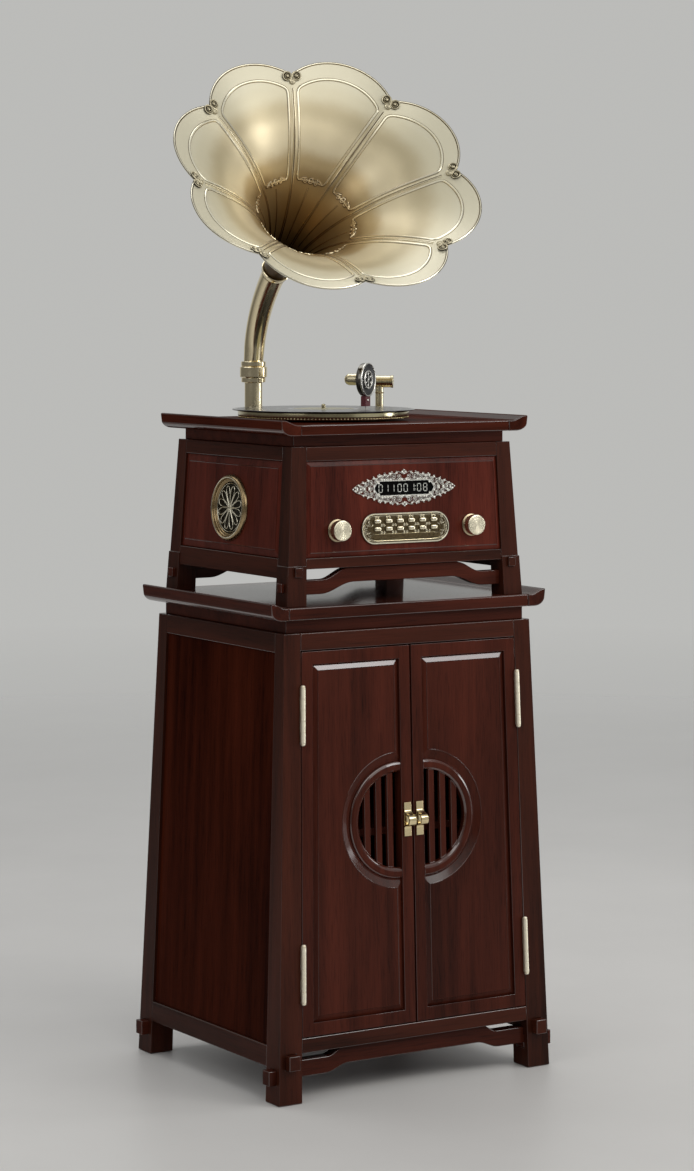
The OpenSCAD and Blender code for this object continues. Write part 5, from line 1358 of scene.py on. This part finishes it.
@dataclass
class HornForm:
    """Sizes of the horn in millimetres and degrees, and the surface that they give."""

    foot: tuple[float, float, float] = (-77.0, 160.0, 1126.52)
    turn: float = 9.4
    mouth_turn: float = 4.3
    elbow_slope: float = 37.0
    mouth_slope: float = 40.6
    elbow_end: tuple[float, float] = (102.0, 181.0)
    mouth: tuple[float, float] = (320.0, 330.0)
    collar_h: float = 27.0
    throat_r: float = 19.48
    notch_r: float = 223.5
    petal_r: float = 252.0
    fade: float = 104.0
    dome: float = 5.0
    wall: float = 1.5
    petals: int = 8
    phase: float = 3.57

    def __post_init__(self) -> None:
        """Works out the bell's length, its asymptote and its lobes."""
        self.length = math.dist(self.elbow_end, self.mouth)
        k = math.exp(-self.length / self.fade)
        self.r0 = (self.throat_r - self.notch_r * k) / (1 - k)
        half = math.pi / self.petals
        reach = self.petal_r - self.notch_r * math.cos(half)
        self.lobe_r = (reach ** 2 + (self.notch_r * math.sin(half)) ** 2) / (2 * reach)
        self.lobe_c = self.petal_r - self.lobe_r
        e, m = np.array(self.elbow_end), np.array(self.mouth)
        self.bell_line = np.array([e, e + 80 * direction(self.elbow_slope),
                                   m - 90 * direction(self.mouth_slope - 2), m])
        self.elbow_back = e - 13 * direction(self.elbow_slope)
        self.elbow_line = np.array([[0, 16], [0, 95], self.elbow_back - 36 * direction(self.elbow_slope),
                                    self.elbow_back])

    def axes(self, turn: Array | float, slope: Array | float) -> tuple[Array, Array, Array]:
        """Returns the directions of a section: sideways, up and back, and along the horn."""
        t, s = np.broadcast_arrays(np.radians(turn), np.radians(slope))
        return (np.stack([np.cos(t), -np.sin(t), 0 * t], -1),
                np.stack([np.sin(s) * np.sin(t), np.sin(s) * np.cos(t), np.cos(s)], -1),
                np.stack([-np.cos(s) * np.sin(t), -np.cos(s) * np.cos(t), np.sin(s)], -1))

    def in_plane(self, p: Array) -> Array:
        """Returns points of the horn's own upright plane, given as reach and rise."""
        t = math.radians(self.turn)
        reach, rise = p[..., 0], p[..., 1]
        return np.stack([-math.sin(t) * reach, -math.cos(t) * reach, rise], -1) + np.array(self.foot)

    @staticmethod
    def curve(p: Array, t: Array) -> Array:
        """Returns the cubic curve of four points at the shares t."""
        t = np.asarray(t)[..., None]
        u = 1 - t
        return u ** 3 * p[0] + 3 * u * u * t * p[1] + 3 * u * t * t * p[2] + t ** 3 * p[3]

    def rim(self, a: Array) -> Array:
        """Returns the rim's radius at an angle from a petal's middle, in radians: a circle off the centre."""
        return self.lobe_c * np.cos(a) + np.sqrt(self.lobe_r ** 2 - (self.lobe_c * np.sin(a)) ** 2)

    def from_middle(self, theta: Array) -> Array:
        """Returns the angle from the middle of its petal, in radians, for degrees from the first seam."""
        step = 360 / self.petals
        return np.radians(np.mod(theta, step) - step / 2)

    def depth(self, rho: Array) -> Array:
        """Returns how far behind the notches, in millimetres, the bell has a radius."""
        return -self.fade * np.log((rho - self.r0) / (self.notch_r - self.r0))

    def point(self, theta: Array, rho: Array, off: Array | float = 0.0) -> Array:
        """Places points on the bell.

        The radius falls off exponentially with the depth behind the notches. Each section turns and tilts a
        little more towards the mouth, and each petal is cupped by a cosine across it.

        Args:
            theta: Degrees from the first seam.
            rho: Radius of the bell at the point, in millimetres.
            off: Distance behind the inner face.

        Returns:
            Points in metres.
        """
        theta, rho, off = np.broadcast_arrays(theta, rho, off)
        a = self.from_middle(theta)
        depth = self.depth(rho)
        u = np.clip((self.length - depth) / (self.length - self.depth(self.rim(a))), 0, 1)
        t = 1 - np.clip(depth, 0, None) / self.length
        tilt = np.arctan((rho - self.r0) / self.fade)
        out = off + self.dome * u ** 2 * np.cos(a * self.petals / 2)
        steeper = (self.mouth_slope - self.elbow_slope) * t
        slope = np.where(depth > 0, self.elbow_slope + steeper, self.mouth_slope)
        s, up, n = self.axes(self.turn + self.mouth_turn * t, slope)
        angle = np.radians(theta + self.phase)[..., None]
        radial = np.cos(angle) * s + np.sin(angle) * up
        ahead = (np.clip(-depth, 0, None) - out * np.sin(tilt))[..., None]
        return (self.in_plane(self.curve(self.bell_line, t)) + ahead * n
                + (rho + out * np.cos(tilt))[..., None] * radial) * MM

    def inward(self, theta: Array, rho: Array) -> Array:
        """Returns the inner face's normals: the cross product of small steps round and along the bell."""
        p = self.point(theta, rho)
        across = self.point(theta + 0.05, rho) - p
        along = self.point(theta, rho + 0.3) - p
        n = unit(np.cross(along, across))
        return n * np.sign(n @ self.axes(self.turn, self.mouth_slope)[2])[..., None]


@dataclass
class Horn:
    """Swivelling horn: socket, collar, elbow, eight-petal bell and the scrolls at its notches.

    The sheet and the rim's bead end a little inside the rim, by sheet_in and bead_in.
    """

    form: HornForm = field(default_factory=HornForm)
    inset: float = 29.0
    seam_gap: float = 8.5
    inner_rho: float = 80.0
    bead: float = 2.0
    sheet_in: float = 1.6
    bead_in: float = 1.9
    columns: int = 400
    rows: int = 104

    def build(self) -> None:
        """Builds the pieces in order from the foot to the rim."""
        for node, body in (("horn_socket", "cabinet"), ("horn_collar", "horn")):
            dressed(node, node + "_brass", 0.35, body, ANTIQUE_GOLD, Slot.BRASS)
        self.elbow()
        self.bell()
        self.beads()
        self.scrolls()

    def elbow(self) -> None:
        """Builds the elbow: round sections along its curve, out on the outside and back on the inside."""
        f = self.form
        e = direction(f.elbow_slope)
        t = np.linspace(0.16, 1, 64)
        d = np.gradient(f.curve(f.elbow_line, t), axis=0)
        slope = np.degrees(np.arctan2(d[:, 1], d[:, 0]))
        ends = np.array([0.2, 3.0, 4.4, 10.6, 11.4, 12.2, 13.0])
        foot = [[0, 16], [0, f.collar_h - 0.2], [0, f.collar_h + 0.1]]
        centre = np.concatenate([foot, f.curve(f.elbow_line, t), f.elbow_back + ends[:, None] * e])
        slope = np.concatenate([[90, 90, 90], slope, np.full(len(ends), f.elbow_slope)])
        lip = [20.6, 21.6, 22.6, 23.0, 24.2, 24.4, 23.6]
        outer = np.concatenate([[14.4, 14.4, 16.6], 16.8 + 3.6 * t, lip])
        inner = np.concatenate([[13.2, 13.2, 13.3], 13.2 + 5.4 * t, [21.0] * 6 + [21.6]])
        s, up, _ = f.axes(f.turn, slope)
        a = np.arange(96) * TAU / 96
        ring = np.cos(a)[:, None] * s[:, None] + np.sin(a)[:, None] * up[:, None]
        place = f.in_plane(centre)[:, None]
        walls = [place + r[:, None, None] * ring for r in (outer, inner)]
        grid = np.concatenate([walls[0], walls[1][::-1]]) * MM
        # the inner wall gets mark 1 and turns to the metal's dark colour: painted shade inside the tube
        dark = np.concatenate([np.zeros(len(outer)), np.ones(len(inner))])[:, None]
        skin = Skin().grid(grid, (True, True), dark)
        settle(skin.make("horn_elbow_tube"), "horn", ANTIQUE, Slot.BRONZE, "horn_elbow")

    def bell(self) -> None:
        """Builds the pressed bell: inner face, rolled rim and outer face, with the neck inside the elbow."""
        f = self.form
        theta = np.arange(self.columns) * 360 / self.columns
        top = f.depth(f.rim(f.from_middle(theta)) - self.sheet_in)
        s, up, _ = f.axes(f.turn, f.elbow_slope)
        angle = np.radians(theta + f.phase)[:, None]
        radial = np.cos(angle) * s + np.sin(angle) * up
        foot = f.in_plane(f.elbow_back + 0.5 * direction(f.elbow_slope))
        walls, marks = [], []
        for rows, off in ((self.rows, 0.0), (self.rows // 2, f.wall)):
            share = (1 - (1 - np.linspace(0, 1, rows)) ** 1.5)[:, None]
            depth = f.length + (top - f.length) * share
            rho = f.r0 + (f.notch_r - f.r0) * np.exp(-depth / f.fade)
            neck = (foot + (f.throat_r + off) * radial) * MM
            walls.append(np.concatenate([neck[None], f.point(theta[None], rho, off)]))
            # marks pick the painted bands on both faces: the neck's 0.05 is the darkest painted shade, and
            # both faces darken towards the throat
            marks.append(np.concatenate([np.full((1, self.columns), 0.05), np.clip(rho / f.notch_r, 0, 1)]))
        grid, mark = (np.concatenate([inner, outer[::-1]]) for inner, outer in (walls, marks))
        bell = Skin().grid(grid, (True, True), mark).make("horn_petals", crease=60)
        settle(bell, "horn", PetalGold(), Slot.BRASS, "horn_bell")

    def beads(self) -> None:
        """Builds the raised lines: rolled rim, panel outlines, seams, and each petal's bracket and rib, each
        over a wider flat dark wire that is painted shadow beside it.
        """
        f = self.form
        # dark gathers the flat wires of painted shadow beside the beads
        skin, dark = Skin(), Skin()
        theta = np.arange(720) / 2
        rho = f.rim(f.from_middle(theta)) - self.bead_in
        self.line(skin, theta, rho, 1.2, 1.6, off=0.7, closed=True)
        self.line(dark, theta, rho - 0.4, 2.2, 0.5, closed=True)
        half = 180 / f.petals
        outline = self.panel()
        for k in range(f.petals):
            middle = (k + 0.5) * 360 / f.petals
            around = middle + np.degrees(outline[:, 0])
            self.line(skin, around, outline[:, 1], self.bead, 2.0, closed=True)
            self.line(dark, around, outline[:, 1], self.bead + 0.9, 0.5, closed=True)
            rho = np.linspace(f.notch_r - 22, 27, 60)
            seam = np.full(60, middle - half)
            shift = np.degrees(1.5 / rho)
            self.line(skin, seam + shift, rho, 0.9, 1.4)
            self.line(skin, seam - shift, rho, 0.9, 1.4)
            self.line(dark, seam, rho, 2.6, 0.5)
            rho = np.linspace(self.inner_rho - 7, 30, 30)
            self.line(skin, np.full(30, middle), rho, 0.9, 1.1)
            self.line(dark, np.full(30, middle), rho, 1.7, 0.45)
            for path in self.bracket():
                angle = middle + np.degrees(path[:, 0] / (self.inner_rho + path[:, 1]))
                self.line(skin, angle, self.inner_rho + path[:, 1], 1.5, 2.6)
                self.line(dark, angle, self.inner_rho + path[:, 1], 2.4, 1.4)
        settle(skin.make("horn_beading"), "horn", BEADING, Slot.BRASS)
        settle(dark.make("horn_painted_shadow_wires"), "horn", PAINTED_BEAD_SHADOW, Slot.BRASS)

    def line(self, skin: Skin, theta: Array, rho: Array, half_w: float, half_h: float, off: float = 0.2,
             closed: bool = False) -> None:
        """Adds one raised line that follows the inner face."""
        f = self.form
        grid = wire(f.point(theta, rho, off), f.inward(theta, rho), half_w * MM, half_h * MM, 8, closed)
        # the radius share picks each line's colour: painted shade towards the throat on the beads
        mark = np.clip(rho / f.notch_r, 0, 1)
        mark = mark if closed else np.concatenate([mark[:1], mark, mark[-1:]])
        skin.grid(grid, (closed, True), mark[:, None])

    def panel(self) -> Array:
        """Returns a petal panel's outline as (angle in radians from the middle, radius).

        It runs along the seam gap on both sides, inside the rim by the inset, and across at the inner radius.
        """
        f = self.form
        half = math.pi / f.petals
        rho = np.linspace(self.inner_rho, f.notch_r + 6, 80)
        side = half - self.seam_gap / rho
        keep = rho < f.rim(side) - self.inset
        rho, side = rho[keep], side[keep]
        arc = np.linspace(side[-1], -side[-1], 60)[1:-1]
        over = np.stack([arc, f.rim(arc) - self.inset], 1)
        back = np.linspace(-side[0], side[0], 12)[1:-1]
        ends = np.stack([back, np.full(10, self.inner_rho)], 1)
        path = np.concatenate([np.stack([side, rho], 1), over, np.stack([-side[::-1], rho[::-1]], 1), ends])
        scale = np.array([150.0, 1.0])
        return smoothed(path * scale, 300, 4) / scale

    def bracket(self) -> list[Array]:
        """Returns the small cloud bracket at a panel's inner end: a lobe and two curls."""
        a = np.linspace(0, TAU, 20)
        lobe = np.stack([3.6 * np.sin(a), 0.5 + 2.8 * np.cos(a)], 1)
        curls = [spiral(s * 8.5, 0.0, 3.6, 90, -s * 1.1, 0.3, 18) for s in (-1, 1)]
        fall = 3.2 * np.cos(np.linspace(0, 1.5, 8)) - 0.4
        tails = [np.stack([s * np.linspace(11, 20, 8), fall], 1) for s in (-1, 1)]
        return [lobe, *curls, *tails]

    def scrolls(self) -> None:
        """Builds the cast ornament at each notch: two coiled discs and a smaller lobe, lying on the seam."""
        f = self.form
        skin = Skin()
        disc = eased(np.array([[0, 0], [8.5, 0], [8.5, 1.7], [7.6, 2.4], [6.6, 2.0], [6.0, 1.2], [2.4, 1.2],
                               [0, 1.2]]), 0.4, 3)
        low = np.clip((1.9 - disc[:, 1:2]) / 0.6, 0, 1)
        eye = [[0, 1.0], [2.3, 1.0], [2.3, 2.6], [0, 3.4]]
        lobe = [[0, 0], [5.5, 0], [5.5, 1.6], [4.6, 2.3], [3.6, 1.6], [2.6, 1.6], [1.8, 2.4], [0, 2.6]]
        s, up_axis, n = f.axes(f.turn + f.mouth_turn, f.mouth_slope)
        tilt = math.atan((f.notch_r - f.r0) / f.fade)
        for k in range(f.petals):
            angle = math.radians(360 * k / f.petals + f.phase)
            radial = math.cos(angle) * s + math.sin(angle) * up_axis
            across = -math.sin(angle) * s + math.cos(angle) * up_axis
            over = math.sin(tilt) * n - math.cos(tilt) * radial
            out = math.cos(tilt) * n + math.sin(tilt) * radial
            origin = f.in_plane(np.array(f.mouth)) + f.notch_r * radial - 7 * out + 0.25 * over
            plane = Plane(tuple(origin), tuple(across), tuple(out), tuple(over))
            for x in (-8, 8):
                at = plane.shifted(x, 3)
                skin.grid(spun(disc, at, 36), (False, True), low)
                skin.strand(at, spiral(0, 0, 6.4, 90, 1.5 if x > 0 else -1.5, 0.25, 30), 1.4, 0.75, 1.2)
                skin.turned(at, eye, 0.8, 4, 18)
            skin.turned(plane.shifted(0, -6), lobe, 0.4, 3, 28)
        settle(skin.make("horn_scrolls"), "horn", CAST, Slot.BRONZE, "horn_ornaments")


# Studio


@dataclass
class Studio:
    """Floor, light and camera."""

    wall: Colour = (0.50, 0.50, 0.485)
    room: Colour = (0.15, 0.146, 0.137)
    floor: Colour = (0.60, 0.585, 0.56)
    eye: tuple[float, float, float] = (-2.82363, -4.42958, 1.26383)
    yaw: float = 0.56873
    pitch: float = 0.0185
    roll: float = 0.00179
    focal: float = 3174.59
    centre_y: float = 354.71
    picture: tuple[int, int] = (694, 1171)

    def build(self) -> None:
        """Builds the camera, the floor, the world and the lamps."""
        scene = bpy.context.scene
        scene.view_settings.view_transform = "Standard"
        self.camera()
        self.ground()
        self.world()
        plain = (1, 1, 1)
        for lamp in ((0.3, -3.4, 3.4, 4.6, 3.0, 60, (1.0, 0.985, 0.96)),
                     (-3.4, -1.2, 2.6, 1.8, 2.2, 16, plain), (3.0, -1.35, 0.9, 0.6, 1.8, 20, plain),
                     (1.9, -2.5, 2.4, 1.4, 0.8, 18, plain), (0.0, 1.2, 3.4, 2.6, 1.6, 24, plain)):
            self.lamp(*lamp)

    def camera(self) -> None:
        """Places the camera where the photograph was taken, with the photograph's framing."""
        data = bpy.data.cameras.new("camera")
        data.sensor_width = 36.0
        data.lens = self.focal / self.picture[1] * data.sensor_width
        data.shift_y = -(self.picture[1] / 2 - self.centre_y) / self.picture[1]
        data.clip_end = 100
        flat = np.array([math.sin(self.yaw), math.cos(self.yaw), 0])
        right = np.array([math.cos(self.yaw), -math.sin(self.yaw), 0])
        ahead = flat * math.cos(self.pitch) - np.array([0, 0, math.sin(self.pitch)])
        up = flat * math.sin(self.pitch) + np.array([0, 0, math.cos(self.pitch)])
        c, s = math.cos(self.roll), math.sin(self.roll)
        cam = placed(data)
        cam.matrix_world = pose((right * c + up * s, up * c - right * s, -ahead), self.eye)
        bpy.context.scene.camera = cam

    def ground(self) -> None:
        """Builds a round floor that fades into the backdrop: its opacity falls with the distance."""
        ring = direction(np.arange(96) * 3.75)
        rows = np.array([0.01, 1.0, 2.0, 3.5, 5.0, 7.0])
        flat = np.concatenate([rows[:, None, None] * ring[None], np.full((len(rows), 96, 1), -0.0005)], -1)
        far = np.clip((rows - 2.4) / 3.6, 0, 1)[:, None]
        mesh = Skin().grid(flat, (False, True), far).make("floor", turn=False)
        material = bpy.data.materials.new("floor")
        w = blank(material)
        tint = w.mix(w.clouds(w.place(), 1.6), self.floor, tuple(c * 1.06 for c in self.floor))
        shader = w.add("BsdfPrincipled", {"Base Color": tint, "Roughness": 0.42, "Specular IOR Level": 0.35})
        clear = w.add("BsdfTransparent")
        both = w.add("MixShader", {0: w.mark(), 1: shader.outputs[0], 2: clear.outputs[0]})
        w.add("OutputMaterial", {"Surface": both.outputs[0]})
        mesh.data.materials.append(material)

    def world(self) -> None:
        """Builds the backdrop: plain grey to the eye and in reflections, and a gentler fill for the light."""
        world = bpy.data.worlds.new("studio")
        w = blank(world)
        path = w.add("LightPath").outputs
        seen = w.math("MAXIMUM", path["Is Camera Ray"],
                      w.math("MAXIMUM", path["Is Glossy Ray"], path["Is Transmission Ray"]))
        way = w.add("TexCoord").outputs["Generated"]
        height = w.add("SeparateXYZ", {0: way}).outputs[2]
        behind, beside = (w.vector("DOT_PRODUCT", way, to, "Value")
                          for to in ((0.54, 0.84, 0.0), (0.53, -0.84, 0.11)))
        lit = w.math("MAXIMUM", w.math("MAXIMUM", w.span(behind, 0.55, 0.85), w.span(height, 0.42, 0.8)),
                     w.span(beside, 0.88, 0.96, 0.0, 0.9))
        room = w.mix(lit, self.room, self.wall)
        mirror = w.math("SUBTRACT", 1.0, path["Is Camera Ray"])
        plain = w.add("Background", {"Color": w.mix(mirror, self.wall, room), "Strength": 1.0})
        fill = w.add("Background", {"Color": (0.95, 0.97, 1.0, 1), "Strength": 0.5})
        both = w.add("MixShader", {0: seen, 1: fill.outputs[0], 2: plain.outputs[0]})
        w.add("OutputWorld", {"Surface": both.outputs[0]})
        bpy.context.scene.world = world

    def lamp(self, x: float, y: float, z: float, wide: float, tall: float, power: float,
             tint: Colour) -> None:
        """Hangs one soft box that looks at the middle of the object."""
        data = bpy.data.lights.new("soft_box", "AREA")
        data.shape = "RECTANGLE"
        data.size, data.size_y, data.energy, data.color = wide, tall, power, tint
        back = unit(np.array([x, y, z]) - np.array([0, 0, 0.85]))
        side = unit(np.cross(np.array([0, 0, 1.0]), back))
        placed(data).matrix_world = pose((side, np.cross(back, side), back), (x, y, z))


def main() -> None:
    """Builds the scene from the studio to the horn."""
    logging.basicConfig(level=logging.INFO, format="%(name)s: %(message)s")
    for part in (Studio(), Joinery(), Doors(), Display(), Controls(), Grilles(), Insides(), Turntable(),
                 Tonearm(), Horn()):
        part.build()
        LOG.info("%s done", type(part).__name__)


if __name__ == "__main__":
    main()
